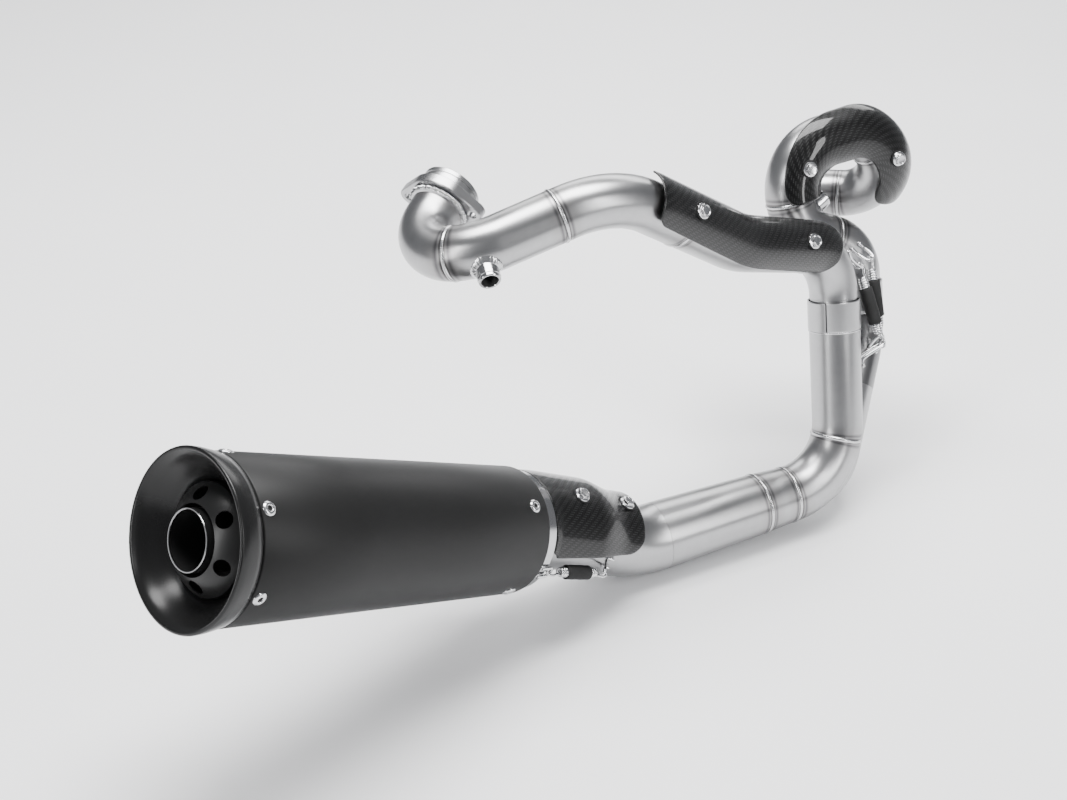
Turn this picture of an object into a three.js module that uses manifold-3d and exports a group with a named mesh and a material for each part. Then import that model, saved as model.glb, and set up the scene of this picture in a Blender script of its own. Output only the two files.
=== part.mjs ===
// Two-into-one motorcycle racing exhaust system, in millimetres.
// +X points forward along the motorcycle, +Y to its left and +Z up. The origin is the centre of the
// mating face of the rear cylinder's port flange. Every welded section is a piece of its own.
import * as THREE from 'three';
import { mergeVertices } from 'three/addons/utils/BufferGeometryUtils.js';
import Module from 'manifold-3d';

const wasm = await Module();
wasm.setup();

// ---------------------------------------------------------------- driving dimensions
const HEADER_RADIUS = 22.6;       // primary tubes, 45 mm outside
const SLIP_RADIUS = 22.0;         // sized ends that slide into the collars
const LOWER_RADIUS = 23.9;        // tubes below the slip joints
const COLLAR_RADIUS = 24.7;
const COLLAR_BORE = 23.0;
const COLLECTOR_RADIUS = 26.6;
const LINK_RADIUS = 31.6;         // link pipe at the muffler
const WALL = 1.2;
const JOIN_GAP = 0.35;            // half of it at each side of a welded seam
const TUBE_SIDES = 12;

const FLANGE_THICKNESS = 9;
const STUD_SPACING = 60;
const STUD_HOLE_RADIUS = 4.3;
const SPIGOT_LENGTH = 12;
const SPIGOT_RADIUS = 25.5;

const MUFFLER_LENGTH = 330;
const MUFFLER_FRONT_RADIUS = 54.5;
const FRONT_RING_RADIUS = 51.5;
const FRONT_RING_LENGTH = 12;
const MUFFLER_REAR_RADIUS = 65;
const MUFFLER_RIM_RADIUS = 68.3;
const SEAM = 308;                 // where the sleeve meets the end cap
const SLEEVE_WALL = 1.5;
const INLET_RADIUS = 35.6;
const CORE_RADIUS = 42.2;
const NECK_RADIUS = 43.3;         // bore that takes the baffle
const BAFFLE_RADIUS = 42.6;
const BAFFLE_TUBE_RADIUS = 23.6;
const BAFFLE_HOLES = 6;

const SHIELD_THICKNESS = 1.8;
const SHIELD_STANDOFF = 5.2;
const WIRE_RADIUS = 1.5;
const SPRING_WIRE_RADIUS = 1.1;
const COIL_RADIUS = 4.8;
const RUBBER_RADIUS = 6.4;
const HOOK_RADIUS = 3.3;

// route corners: [x, y, z, bend radius]
const UP = new THREE.Vector3(0.087, 0.315, 0.945).normalize();      // both slip joints
const REAR_PORT_AXIS = new THREE.Vector3(-0.77, -0.5, -0.395).normalize();
const FRONT_PORT_AXIS = new THREE.Vector3(83, -79, 10).normalize();
const REAR_SLIP = new THREE.Vector3(366, -65, -171);
const FRONT_SLIP = new THREE.Vector3(418.6, -30.7, -180);
const MUFFLER_AXIS = new THREE.Vector3(-0.883, -0.22, 0.414).normalize();
const MUFFLER_FRONT = new THREE.Vector3(-10.4, -121.3, -257.3);

const along = (origin, axis, distance) => origin.clone().addScaledVector(axis, distance);
const corner = (point, radius) => [point.x, point.y, point.z, radius];

const REAR_ROUTE = [
  corner(REAR_PORT_AXIS.clone().multiplyScalar(FLANGE_THICKNESS + JOIN_GAP), 0),
  corner(REAR_PORT_AXIS.clone().multiplyScalar(68.5), 34),
  [-11, -79, -11, 50],
  [109, -90, 20, 95],
  [244, -72, -70, 110],
  corner(along(REAR_SLIP, UP, 60), 52),
  corner(along(REAR_SLIP, UP, -28), 0),
];
const FRONT_FLANGE = new THREE.Vector3(410, 82, -117);
const FRONT_ROUTE = [
  corner(along(FRONT_FLANGE, FRONT_PORT_AXIS, FLANGE_THICKNESS + JOIN_GAP), 0),
  [493, 3, -107, 40],
  [444, 18, -32, 46],
  [358, 22, -39, 46],
  [357, -2, -110, 46],
  corner(along(FRONT_SLIP, UP, 47), 40),
  corner(along(FRONT_SLIP, UP, -28), 0),
];
const LINK_ROUTE = [
  [352, -116, -323, 0],
  [126, -111, -326, 95],
  corner(along(MUFFLER_FRONT, MUFFLER_AXIS, -22), 60),
  corner(along(MUFFLER_FRONT, MUFFLER_AXIS, 24), 0),
];
const LOWER_ROUTE = [
  corner(along(REAR_SLIP, UP, 0), 0),
  [352, -116, -323, 64],
  [292, -115, -323.6, 0],
];
const MERGE_ROUTE = [
  corner(along(FRONT_SLIP, UP, 0), 0),
  corner(along(FRONT_SLIP, UP, -46), 60),
  [344, -110, -320, 50],
  [292, -115, -323.6, 0],
];
const SLEEVE_END = 259;           // x of the weld between the collector sleeve and the mid pipe

// ---------------------------------------------------------------- finishes
const finish = (color, roughness, metalness) => () =>
  new THREE.MeshStandardMaterial({ color, roughness, metalness });
const brushedSteel = finish(0xb4b6b8, 0.34, 1);
const polishedSteel = finish(0xd4d6d8, 0.12, 1);
const zincPlate = finish(0xc8cacc, 0.28, 1);
const blackCoat = finish(0x2c2d2f, 0.62, 0.1);
const carbonFibre = finish(0x17181a, 0.2, 0.1);
const blackRubber = finish(0x222224, 0.8, 0);
const glassWool = finish(0xd9d2b4, 1, 0);

// ---------------------------------------------------------------- geometry helpers
class Bend extends THREE.Curve {
  constructor(centre, start, end) {
    super();
    this.centre = centre;
    this.from = start.clone().sub(centre);
    this.to = end.clone().sub(centre);
    this.angle = this.from.angleTo(this.to);
  }
  getPoint(t, target = new THREE.Vector3()) {
    const a = Math.sin((1 - t) * this.angle) / Math.sin(this.angle);
    const b = Math.sin(t * this.angle) / Math.sin(this.angle);
    return target.copy(this.centre).addScaledVector(this.from, a).addScaledVector(this.to, b);
  }
}

class Stretch extends THREE.Curve {
  constructor(route, from, to) {
    super();
    this.route = route;
    this.from = from;
    this.to = to;
  }
  getPoint(t, target = new THREE.Vector3()) {
    const length = this.route.getLength();
    return target.copy(this.route.getPoint((this.from + (this.to - this.from) * t) / length));
  }
}

// a tube's centre line: straight runs joined by arcs at the corners
function makeRoute(corners) {
  const points = corners.map(([x, y, z]) => new THREE.Vector3(x, y, z));
  const route = new THREE.CurvePath();
  route.marks = [0];
  let start = points[0];
  let travelled = 0;
  const add = (curve) => {
    travelled += curve.getLength();
    route.add(curve);
    route.marks.push(travelled);
  };
  for (let i = 1; i < points.length - 1; i++) {
    const before = points[i].clone().sub(points[i - 1]).normalize();
    const after = points[i + 1].clone().sub(points[i]).normalize();
    const turn = before.angleTo(after);
    const radius = corners[i][3];
    const setback = radius * Math.tan(turn / 2);
    const entry = along(points[i], before, -setback);
    const exit = along(points[i], after, setback);
    const inward = after.clone().sub(before).normalize();
    const centre = along(points[i], inward, radius / Math.cos(turn / 2));
    add(new THREE.LineCurve3(start, entry));
    add(new Bend(centre, entry, exit));
    start = exit;
  }
  add(new THREE.LineCurve3(start, points[points.length - 1]));
  route.updateArcLengths();
  return route;
}

function circleShape(radius, sides, bore = 0) {
  const ring = (r) => Array.from({ length: sides }, (unused, i) => {
    const angle = (2 * Math.PI * i) / sides;
    return new THREE.Vector2(r * Math.cos(angle), r * Math.sin(angle));
  });
  const shape = new THREE.Shape(ring(radius));
  if (bore > 0) shape.holes.push(new THREE.Path(ring(bore).reverse()));
  return shape;
}

function sweep(path, radius, bore, steps, sides = TUBE_SIDES) {
  return new THREE.ExtrudeGeometry(circleShape(radius, sides, bore), {
    extrudePath: path, steps, bevelEnabled: false,
  });
}

// profile: [radius, height] corners round a closed outline, turned about +Z
function turned(profile, segments = 32) {
  const points = profile.map(([r, z]) => new THREE.Vector2(r, z));
  points.push(points[0].clone());
  return new THREE.LatheGeometry(points, segments).rotateX(Math.PI / 2);
}

function closed(geometry) {
  const bare = geometry.clone();
  bare.deleteAttribute('normal');
  bare.deleteAttribute('uv');
  return mergeVertices(bare, 1e-3);
}

function solid(geometry) {
  const merged = closed(geometry);
  const vertProperties = new Float32Array(merged.attributes.position.array);
  const corners = Array.from(merged.index.array);
  const triVerts = [];
  for (let i = 0; i < corners.length; i += 3) {
    const [a, b, c] = corners.slice(i, i + 3);
    if (a !== b && b !== c && a !== c) triVerts.push(a, b, c);
  }
  return new wasm.Manifold(new wasm.Mesh({
    numProp: 3, vertProperties, triVerts: new Uint32Array(triVerts),
  }));
}

function geometryOf(manifold) {
  const mesh = manifold.getMesh();
  const geometry = new THREE.BufferGeometry();
  geometry.setAttribute('position', new THREE.BufferAttribute(new Float32Array(mesh.vertProperties), 3));
  geometry.setIndex(new THREE.BufferAttribute(new Uint32Array(mesh.triVerts), 1));
  geometry.computeVertexNormals();
  return geometry;
}

const joined = (...geometries) => geometryOf(geometries.map(solid).reduce((a, b) => a.add(b)));
const cut = (geometry, ...tools) => geometryOf(tools.map(solid).reduce((a, b) => a.subtract(b), solid(geometry)));

// turns +Z to an axis and moves the origin to a point
function placed(geometry, origin, axis) {
  const turn = new THREE.Quaternion().setFromUnitVectors(new THREE.Vector3(0, 0, 1), axis);
  return geometry.applyQuaternion(turn).translate(origin.x, origin.y, origin.z);
}

// a bar along +Z from z = low to z = high
function bar(radius, low, high, sides = 16) {
  const geometry = new THREE.CylinderGeometry(radius, radius, high - low, sides);
  return geometry.rotateX(Math.PI / 2).translate(0, 0, (low + high) / 2);
}

const squareTo = (vector, axis) => vector.clone().addScaledVector(axis, -vector.dot(axis)).normalize();

function stationOf(route, distance, facing) {
  const u = distance / route.getLength();
  const point = route.getPoint(u);
  const tangent = route.getTangent(u);
  const normal = squareTo(facing, tangent);
  return { point, tangent, normal, side: tangent.clone().cross(normal) };
}

function around(frame, radius, angle) {
  return frame.point.clone()
    .addScaledVector(frame.normal, radius * Math.cos(angle))
    .addScaledVector(frame.side, radius * Math.sin(angle));
}

// a closed skin over rows of points; each row is one closed outline with an even number of points
function skinned(rows) {
  const size = rows[0].length;
  const faces = [];
  for (let i = 0; i < rows.length - 1; i++) {
    for (let j = 0; j < size; j++) {
      const a = i * size + j;
      const b = i * size + ((j + 1) % size);
      faces.push(a, b, b + size, a, b + size, a + size);
    }
  }
  const last = (rows.length - 1) * size;
  for (let j = 0; j < size / 2 - 1; j++) {
    const [a, b, c, d] = [j, j + 1, size - 2 - j, size - 1 - j];
    faces.push(a, c, b, a, d, c);
    faces.push(last + a, last + b, last + c, last + a, last + c, last + d);
  }
  const geometry = new THREE.BufferGeometry();
  const positions = rows.flat().flatMap((p) => [p.x, p.y, p.z]);
  geometry.setAttribute('position', new THREE.Float32BufferAttribute(positions, 3));
  geometry.setIndex(faces);
  return geometry;
}

// a round bar along a route whose radius changes evenly from one end to the other
function tapered(route, from, to, startRadius, endRadius, steps, facing, sides = TUBE_SIDES) {
  const rows = Array.from({ length: steps + 1 }, (unused, i) => {
    const frame = stationOf(route, from + ((to - from) * i) / steps, facing);
    const radius = startRadius + ((endRadius - startRadius) * i) / steps;
    return Array.from({ length: sides }, (none, j) => around(frame, radius, (2 * Math.PI * j) / sides));
  });
  return skinned(rows);
}

// ---------------------------------------------------------------- scene graph
const exhaust = new THREE.Group();

function addMesh(parent, name, geometry, makeMaterial) {
  const mesh = new THREE.Mesh(geometry, makeMaterial());
  mesh.name = name;
  parent.add(mesh);
  return mesh;
}

// ---------------------------------------------------------------- tubes
function tube(name, route, from, to, radius, steps, material = brushedSteel) {
  const path = new Stretch(route, from, to);
  return addMesh(exhaust, name, sweep(path, radius, radius - WALL, steps), material);
}

function portFlange(name, origin, axis, spin) {
  const ear = STUD_SPACING / 2;
  const outline = new THREE.Shape();
  const hub = SPIGOT_RADIUS + 4;
  const earRadius = 8.5;
  const lean = Math.acos((hub - earRadius) / ear);
  outline.absarc(ear, 0, earRadius, -lean, lean, false);
  outline.absarc(0, 0, hub, lean, Math.PI - lean, false);
  outline.absarc(-ear, 0, earRadius, Math.PI - lean, Math.PI + lean, false);
  outline.absarc(0, 0, hub, Math.PI + lean, 2 * Math.PI - lean, false);
  const hole = (x, radius) => {
    const path = new THREE.Path();
    path.absarc(x, 0, radius, 0, 2 * Math.PI, true);
    return path;
  };
  outline.holes.push(hole(ear, STUD_HOLE_RADIUS), hole(-ear, STUD_HOLE_RADIUS));
  outline.holes.push(hole(0, HEADER_RADIUS - WALL));
  const plate = new THREE.ExtrudeGeometry(outline, {
    depth: FLANGE_THICKNESS, bevelEnabled: false, curveSegments: 5,
  });
  const bore = HEADER_RADIUS - WALL;
  const spigot = turned([
    [bore, -SPIGOT_LENGTH], [SPIGOT_RADIUS - 1, -SPIGOT_LENGTH], [SPIGOT_RADIUS, 1 - SPIGOT_LENGTH],
    [SPIGOT_RADIUS, 1], [bore, 1],
  ], 20);
  const hubBore = bar(bore, -SPIGOT_LENGTH - 1, FLANGE_THICKNESS + 1, 20);
  const body = cut(joined(plate, spigot), hubBore);
  body.rotateZ(spin);
  addMesh(exhaust, name, placed(body, origin, axis), brushedSteel);
}

const rearRoute = makeRoute(REAR_ROUTE);
const frontRoute = makeRoute(FRONT_ROUTE);
const linkRoute = makeRoute(LINK_ROUTE);
const lowerRoute = makeRoute(LOWER_ROUTE);
const mergeRoute = makeRoute(MERGE_ROUTE);

// a threaded boss for an oxygen sensor, and the tube section that it is welded over
const BOSS_RADIUS = 9.6;
const BOSS_BORE = 6.2;
const BOSS_HEIGHT = 14;
const BOSS_SEAT = 20.5;           // the boss's foot is this far from the tube's centre line

function tubeWithBoss(name, bossName, route, from, to, steps, distance, facing) {
  const station = stationOf(route, distance, facing);
  const pipe = sweep(new Stretch(route, from, to), HEADER_RADIUS, HEADER_RADIUS - WALL, steps);
  const drill = placed(bar(BOSS_BORE, 5, 40, 12), station.point, station.normal);
  addMesh(exhaust, name, cut(pipe, drill), brushedSteel);
  const boss = placed(turned([
    [BOSS_BORE, BOSS_SEAT], [BOSS_RADIUS, BOSS_SEAT], [BOSS_RADIUS, BOSS_SEAT + BOSS_HEIGHT],
    [BOSS_BORE, BOSS_SEAT + BOSS_HEIGHT],
  ], 20), station.point, station.normal);
  const clearance = sweep(new Stretch(route, from, to), HEADER_RADIUS + 0.5, 0, steps, 24);
  addMesh(exhaust, bossName, cut(boss, clearance), polishedSteel);
  return station;
}

// rear header: port, elbow, sensor bend, crest, run under the shield and drop to the slip joint
const half = JOIN_GAP / 2;
const [, , rearElbowEnd, , , , , , , rearDropStart] = rearRoute.marks;
const REAR_SENSOR_END = rearElbowEnd + 90;
const REAR_CREST_END = REAR_SENSOR_END + 130;
const rearLength = rearRoute.getLength();
portFlange('rear_port_flange', new THREE.Vector3(), REAR_PORT_AXIS, 2.1);
tube('rear_port_elbow', rearRoute, 0, rearElbowEnd - half, HEADER_RADIUS, 8);
tubeWithBoss('rear_sensor_bend', 'rear_sensor_boss', rearRoute, rearElbowEnd + half,
  REAR_SENSOR_END - half, 5, rearElbowEnd + 23, new THREE.Vector3(-0.22, -0.89, -0.4));
tube('rear_crest_tube', rearRoute, REAR_SENSOR_END + half, REAR_CREST_END - half, HEADER_RADIUS, 7);
tube('rear_run_tube', rearRoute, REAR_CREST_END + half, rearDropStart - half, HEADER_RADIUS, 6);
tube('rear_drop_elbow', rearRoute, rearDropStart + half, rearLength - 43, HEADER_RADIUS, 7);
tube('rear_slip_end', rearRoute, rearLength - 43 + JOIN_GAP, rearLength, SLIP_RADIUS, 1);

// front header: port, stub, elbow, loop, sensor bend and drop to its own slip joint
const frontMarks = frontRoute.marks;
const frontLength = frontRoute.getLength();
const FRONT_SHOULDER = frontMarks[3] + 4;
portFlange('front_port_flange', FRONT_FLANGE, FRONT_PORT_AXIS, 1.2);
tube('front_port_stub', frontRoute, 0, frontMarks[1] - half, HEADER_RADIUS, 2);
tube('front_port_elbow', frontRoute, frontMarks[1] + half, FRONT_SHOULDER - half, HEADER_RADIUS, 7);
tube('front_loop_tube', frontRoute, FRONT_SHOULDER + half, frontMarks[6] + 6 - half, HEADER_RADIUS, 13);
tubeWithBoss('front_sensor_bend', 'front_sensor_boss', frontRoute, frontMarks[6] + 6 + half,
  frontMarks[9] - half, 9, frontMarks[7] + 24, new THREE.Vector3(0.55, 0.2, 0.8));
tube('front_drop_tube', frontRoute, frontMarks[9] + half, frontLength - 43, HEADER_RADIUS, 5);
tube('front_slip_end', frontRoute, frontLength - 43 + JOIN_GAP, frontLength, SLIP_RADIUS, 1);

// collector: two collars, two down tubes, the merge elbow and the sleeve
const COLLAR_TOP = 13;
const COLLAR_LENGTH = 29;
function slipCollar(name, origin) {
  const low = COLLAR_TOP - COLLAR_LENGTH;
  const collar = turned([
    [COLLAR_BORE, low], [COLLAR_RADIUS, low], [COLLAR_RADIUS, COLLAR_TOP], [COLLAR_BORE, COLLAR_TOP],
  ], 28);
  const slot = new THREE.BoxGeometry(6, 1.2, 18).translate(COLLAR_RADIUS - 1, 0, COLLAR_TOP - 6);
  slot.rotateZ(-2.5);
  addMesh(exhaust, name, placed(cut(collar, slot), origin, UP), brushedSteel);
}
slipCollar('rear_slip_collar', REAR_SLIP);
slipCollar('front_slip_collar', FRONT_SLIP);
const COLLAR_FOOT = COLLAR_LENGTH - COLLAR_TOP + JOIN_GAP;
const DOWN_TUBE_END = lowerRoute.marks[1] + 17;
const lowerLength = lowerRoute.getLength();
tube('rear_down_tube', lowerRoute, COLLAR_FOOT, DOWN_TUBE_END - half, LOWER_RADIUS, 6);

// the collector elbow takes both down tubes: its bores are cut through after the branch is joined
const mergeLength = mergeRoute.getLength();
const BRANCH_START = mergeRoute.marks[2] + 30;
const SIDEWAYS = new THREE.Vector3(0, 1, 0);
const elbowBar = (wall, from, to) => tapered(lowerRoute, from, to, LOWER_RADIUS - wall,
  COLLECTOR_RADIUS - wall, 5, SIDEWAYS);
const branchBar = (wall, from) => sweep(new Stretch(mergeRoute, from, mergeLength), LOWER_RADIUS - wall, 0, 5);
const rearKeepOut = (end) => sweep(new Stretch(lowerRoute, COLLAR_FOOT, end), LOWER_RADIUS + 0.5, 0, 7);
addMesh(exhaust, 'collector_elbow', cut(
  joined(elbowBar(0, DOWN_TUBE_END + half, lowerLength), branchBar(0, BRANCH_START + half)),
  rearKeepOut(DOWN_TUBE_END + half),
  elbowBar(WALL, DOWN_TUBE_END - 1, lowerLength),
  branchBar(WALL, BRANCH_START - 3),
  bar(COLLECTOR_RADIUS - WALL, -4, 4, TUBE_SIDES).rotateY(Math.PI / 2).translate(292, -115, -323.6),
), brushedSteel);
const frontDown = sweep(new Stretch(mergeRoute, COLLAR_FOOT, BRANCH_START - half), LOWER_RADIUS,
  LOWER_RADIUS - WALL, 6);
addMesh(exhaust, 'front_down_tube', cut(frontDown, rearKeepOut(lowerLength - 20)), brushedSteel);

// straight cones, from one x to another along the link route
function cone(name, xStart, xEnd, startRadius, endRadius, material = brushedSteel) {
  const [head, bend] = [LINK_ROUTE[0], LINK_ROUTE[1]].map(([x, y, z]) => new THREE.Vector3(x, y, z));
  const axis = bend.clone().sub(head).normalize();
  const origin = along(head, axis, (xStart - head.x) / axis.x);
  const length = (xEnd - xStart) / axis.x;
  const body = turned([
    [startRadius - WALL, 0], [startRadius, 0], [endRadius, length], [endRadius - WALL, length],
  ], 20);
  addMesh(exhaust, name, placed(body, origin, axis), material);
}
const BEND_START = 151;           // x where the mid pipe stops being straight
cone('collector_sleeve', 292 - 0.4, SLEEVE_END + half, COLLECTOR_RADIUS, 28.4);
cone('mid_pipe', SLEEVE_END - half, BEND_START, 28.6, LINK_RADIUS);
const linkLength = linkRoute.getLength();
tube('link_pipe', linkRoute, 352 - BEND_START + 2 * half, linkLength, LINK_RADIUS, 9);

// ---------------------------------------------------------------- muffler
const muffler = new THREE.Group();
muffler.position.copy(MUFFLER_FRONT);
muffler.quaternion.setFromUnitVectors(new THREE.Vector3(0, 0, 1), MUFFLER_AXIS);
exhaust.add(muffler);

const sleeveRadius = (z) => MUFFLER_FRONT_RADIUS
  + ((MUFFLER_REAR_RADIUS - MUFFLER_FRONT_RADIUS) * z) / SEAM;
const linerRadius = (z) => sleeveRadius(z) - SLEEVE_WALL;

addMesh(muffler, 'muffler_sleeve', turned([
  [linerRadius(0), 0], [sleeveRadius(0), 0], [sleeveRadius(SEAM), SEAM], [linerRadius(SEAM), SEAM],
], 36), blackCoat);
addMesh(muffler, 'muffler_end_cap', turned([
  [linerRadius(286) - 0.6, 286], [linerRadius(SEAM) - 0.6, SEAM], [linerRadius(SEAM) - 0.6, SEAM + 0.4],
  [MUFFLER_REAR_RADIUS, SEAM + 0.4], [67.6, 322], [MUFFLER_RIM_RADIUS, MUFFLER_LENGTH],
  [65, MUFFLER_LENGTH], [60, 324], [51, 313.5], [NECK_RADIUS, 303], [NECK_RADIUS, 284],
  [NECK_RADIUS + 1.6, 284], [NECK_RADIUS + 1.6, 302], [60, 317], [61.2, 308], [60.6, 286],
], 36), blackCoat);
addMesh(muffler, 'muffler_front_cap', turned([
  [INLET_RADIUS + 0.4, -4], [FRONT_RING_RADIUS - 1, -FRONT_RING_LENGTH],
  [FRONT_RING_RADIUS, 1 - FRONT_RING_LENGTH], [FRONT_RING_RADIUS, 1], [linerRadius(1) - 0.5, 1],
  [linerRadius(14) - 0.5, 14], [linerRadius(14) - 2, 14], [FRONT_RING_RADIUS - 2, 3],
  [FRONT_RING_RADIUS - 2, 1 - FRONT_RING_LENGTH + 3], [INLET_RADIUS + 0.4, -2],
], 24), brushedSteel);
addMesh(muffler, 'muffler_inlet_ring', turned([
  [LINK_RADIUS + 0.9, -9], [INLET_RADIUS - 0.6, -9], [INLET_RADIUS, -8.4], [INLET_RADIUS, 40],
  [LINK_RADIUS + 0.9, 40],
], 24), polishedSteel);
addMesh(muffler, 'perforated_core', turned([
  [CORE_RADIUS - 1, 42], [CORE_RADIUS, 42], [CORE_RADIUS, 283], [CORE_RADIUS - 1, 283],
], 24), brushedSteel);
addMesh(muffler, 'sound_packing', turned([
  [CORE_RADIUS + 0.5, 44], [linerRadius(44) - 1, 44], [linerRadius(280) - 1, 280],
  [CORE_RADIUS + 0.5, 280],
], 24), glassWool);

// removable baffle: domed end with oval ports, its inner tube and the nut for the retaining screw
const DOME_BASE = 309;
const DOME_HOLE = 27;
const DOME_CENTRE = 275.7;
const DOME_RADIUS = Math.hypot(BAFFLE_RADIUS, DOME_BASE - DOME_CENTRE);
const BAFFLE_BACK = 287;
const PORT_TURN = 0.61;
function baffleDome() {
  const outline = [[BAFFLE_RADIUS - WALL, BAFFLE_BACK], [BAFFLE_RADIUS, BAFFLE_BACK]];
  const start = Math.acos(BAFFLE_RADIUS / DOME_RADIUS);
  const end = Math.acos(DOME_HOLE / DOME_RADIUS);
  const steps = 3;
  for (const [radius, order] of [[DOME_RADIUS, 1], [DOME_RADIUS - WALL, -1]]) {
    for (let i = 0; i <= steps; i++) {
      const share = order > 0 ? i / steps : 1 - i / steps;
      const angle = start + (end - start) * share;
      outline.push([radius * Math.cos(angle), DOME_CENTRE + radius * Math.sin(angle)]);
    }
  }
  const ports = Array.from({ length: BAFFLE_HOLES }, (unused, i) => bar(6.6, 8, 38, 8)
    .rotateY(0.6).translate(17, 0, 292)
    .rotateZ((2 * Math.PI * i) / BAFFLE_HOLES + PORT_TURN));
  return cut(turned(outline, 24), ...ports);
}
addMesh(muffler, 'baffle_dome', baffleDome(), blackCoat);
addMesh(muffler, 'baffle_tube', turned([
  [BAFFLE_TUBE_RADIUS - WALL, 200], [BAFFLE_TUBE_RADIUS, 200], [BAFFLE_TUBE_RADIUS, 288],
  [BAFFLE_RADIUS - WALL - 0.4, 288], [BAFFLE_RADIUS - WALL - 0.4, 289.5], [BAFFLE_TUBE_RADIUS, 289.5],
  [BAFFLE_TUBE_RADIUS, 327], [BAFFLE_TUBE_RADIUS - WALL, 327],
], 20), blackCoat);
const nutTurn = PORT_TURN - (2 * Math.PI) / BAFFLE_HOLES;
const nut = bar(4.6, 0, 4, 6).rotateY(-Math.PI / 2).translate(BAFFLE_RADIUS - WALL - 0.6, 0, 299);
addMesh(muffler, 'baffle_nut', nut.rotateZ(nutTurn), zincPlate);

// ---------------------------------------------------------------- heat shields and their bolts
// a curved shell over a tube, narrower at rounded ends; it may swell outward along its length
function shieldShell(route, spec) {
  const rows = [];
  const stations = spec.stations ?? 10;
  const across = 7;
  for (let i = 0; i <= stations; i++) {
    const t = i / stations;
    const facing = spec.facing.clone().lerp(spec.endFacing ?? spec.facing, t);
    const frame = stationOf(route, spec.from + (spec.to - spec.from) * t, facing);
    const near = (edge) => Math.min(1, edge / spec.rounding);
    const edge = Math.min(near(t), spec.squareEnd ? 1 : near(1 - t));
    const width = 0.45 + 0.55 * Math.sqrt(1 - (1 - edge) ** 2);
    const swell = THREE.MathUtils.smoothstep(t, 0.14, 0.48);
    const radius = spec.radius + (spec.swell ?? 0) * swell;
    const low = THREE.MathUtils.lerp(spec.low, spec.endLow ?? spec.low, t);
    const high = THREE.MathUtils.lerp(spec.high, spec.endHigh ?? spec.high, t);
    const ring = (r) => Array.from({ length: across + 1 }, (unused, j) => {
      const angle = width * (low + ((high - low) * j) / across);
      return around(frame, r, angle);
    });
    rows.push([...ring(radius + SHIELD_THICKNESS), ...ring(radius).reverse()]);
  }
  return skinned(rows);
}

function heatShield(name, route, spec, bolts) {
  const drills = [];
  bolts.forEach(({ distance, facing, tubeRadius = HEADER_RADIUS, standoff = SHIELD_STANDOFF }, i) => {
    const { point, normal } = stationOf(route, distance, facing);
    const seat = tubeRadius + 0.6;
    const skin = tubeRadius + standoff;
    drills.push(placed(bar(4, skin - 9, skin + 12, 8), point, normal));
    addMesh(exhaust, `${name}_post_${i + 1}`, placed(turned([
      [3.6, seat], [6, seat], [6, skin - 1.7], [3.6, skin - 1.7],
    ], 10), point, normal), zincPlate);
    const face = skin + SHIELD_THICKNESS + 0.5;
    addMesh(exhaust, `${name}_bolt_${i + 1}`, placed(joined(
      bar(3, seat + 0.4, face + 1, 8), bar(7.4, face, face + 1.6, 12), bar(5.2, face + 1, face + 5, 6),
    ), point, normal), zincPlate);
  });
  addMesh(exhaust, name, cut(shieldShell(route, spec), ...drills), carbonFibre);
}

heatShield('rear_heat_shield', rearRoute, {
  from: REAR_CREST_END - 50, to: rearRoute.marks[9] + 22,
  facing: new THREE.Vector3(-0.12, -0.56, 0.82), endFacing: new THREE.Vector3(0.5, -0.75, 0.4),
  radius: HEADER_RADIUS + SHIELD_STANDOFF, low: -1, endLow: -0.85, high: 1.08, rounding: 0.12,
}, [
  { distance: REAR_CREST_END - 5, facing: new THREE.Vector3(0.42, -0.77, 0.48) },
  { distance: rearRoute.marks[9] - 20, facing: new THREE.Vector3(0.34, -0.8, 0.5) },
]);

heatShield('front_heat_shield', frontRoute, {
  from: frontMarks[2] - 42, to: frontMarks[7] + 4, facing: new THREE.Vector3(0.22, -0.88, 0.42),
  stations: 14, radius: HEADER_RADIUS + SHIELD_STANDOFF, low: -1.1, endLow: -1, high: 1.25,
  endHigh: 0.9, rounding: 0.12,
}, [
  { distance: frontMarks[2] - 4, facing: new THREE.Vector3(0.05, -0.99, 0.14) },
  { distance: frontMarks[6] - 27, facing: new THREE.Vector3(-0.06, -0.95, 0.32) },
]);

// the mid shield swells from a low seat over the pipe to the width of the muffler's front ring
const MID_SEAT = 11.5;
const MID_SWELL = 6.7;
const linkMarks = linkRoute.marks;
heatShield('mid_heat_shield', linkRoute, {
  from: linkMarks[2] + 2, to: linkMarks[4] + 3.8, facing: new THREE.Vector3(0, -0.45, 0.9),
  radius: LINK_RADIUS + MID_SEAT, swell: MID_SWELL, low: -0.8, endLow: -1.05, high: 1.25,
  rounding: 0.16, squareEnd: true, stations: 12,
}, [
  {
    distance: linkMarks[2] + 16, facing: new THREE.Vector3(0.45, -0.23, 0.86),
    tubeRadius: LINK_RADIUS, standoff: MID_SEAT,
  },
  {
    distance: linkMarks[3] - 26, facing: new THREE.Vector3(0.44, -0.34, 0.83),
    tubeRadius: LINK_RADIUS, standoff: MID_SEAT + MID_SWELL,
  },
]);

// ---------------------------------------------------------------- springs, rubber sleeves and hooks
const HOOK_SPREAD = 4.6;
const LIFT = WIRE_RADIUS + 0.4;

// a bent-wire loop: two legs from a weld to a cross bar that takes the spring's eye
function wireHook(name, barCentre, foot, heel, across) {
  const both = (point, spread) => along(point, across, spread);
  const path = new THREE.CatmullRomCurve3([
    both(heel, HOOK_SPREAD), both(foot, HOOK_SPREAD), both(barCentre, 3.4),
    both(barCentre, -3.4), both(foot, -HOOK_SPREAD), both(heel, -HOOK_SPREAD),
  ], false, 'centripetal');
  addMesh(exhaust, name, sweep(path, WIRE_RADIUS, 0, 13, 5), zincPlate);
}

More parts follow.
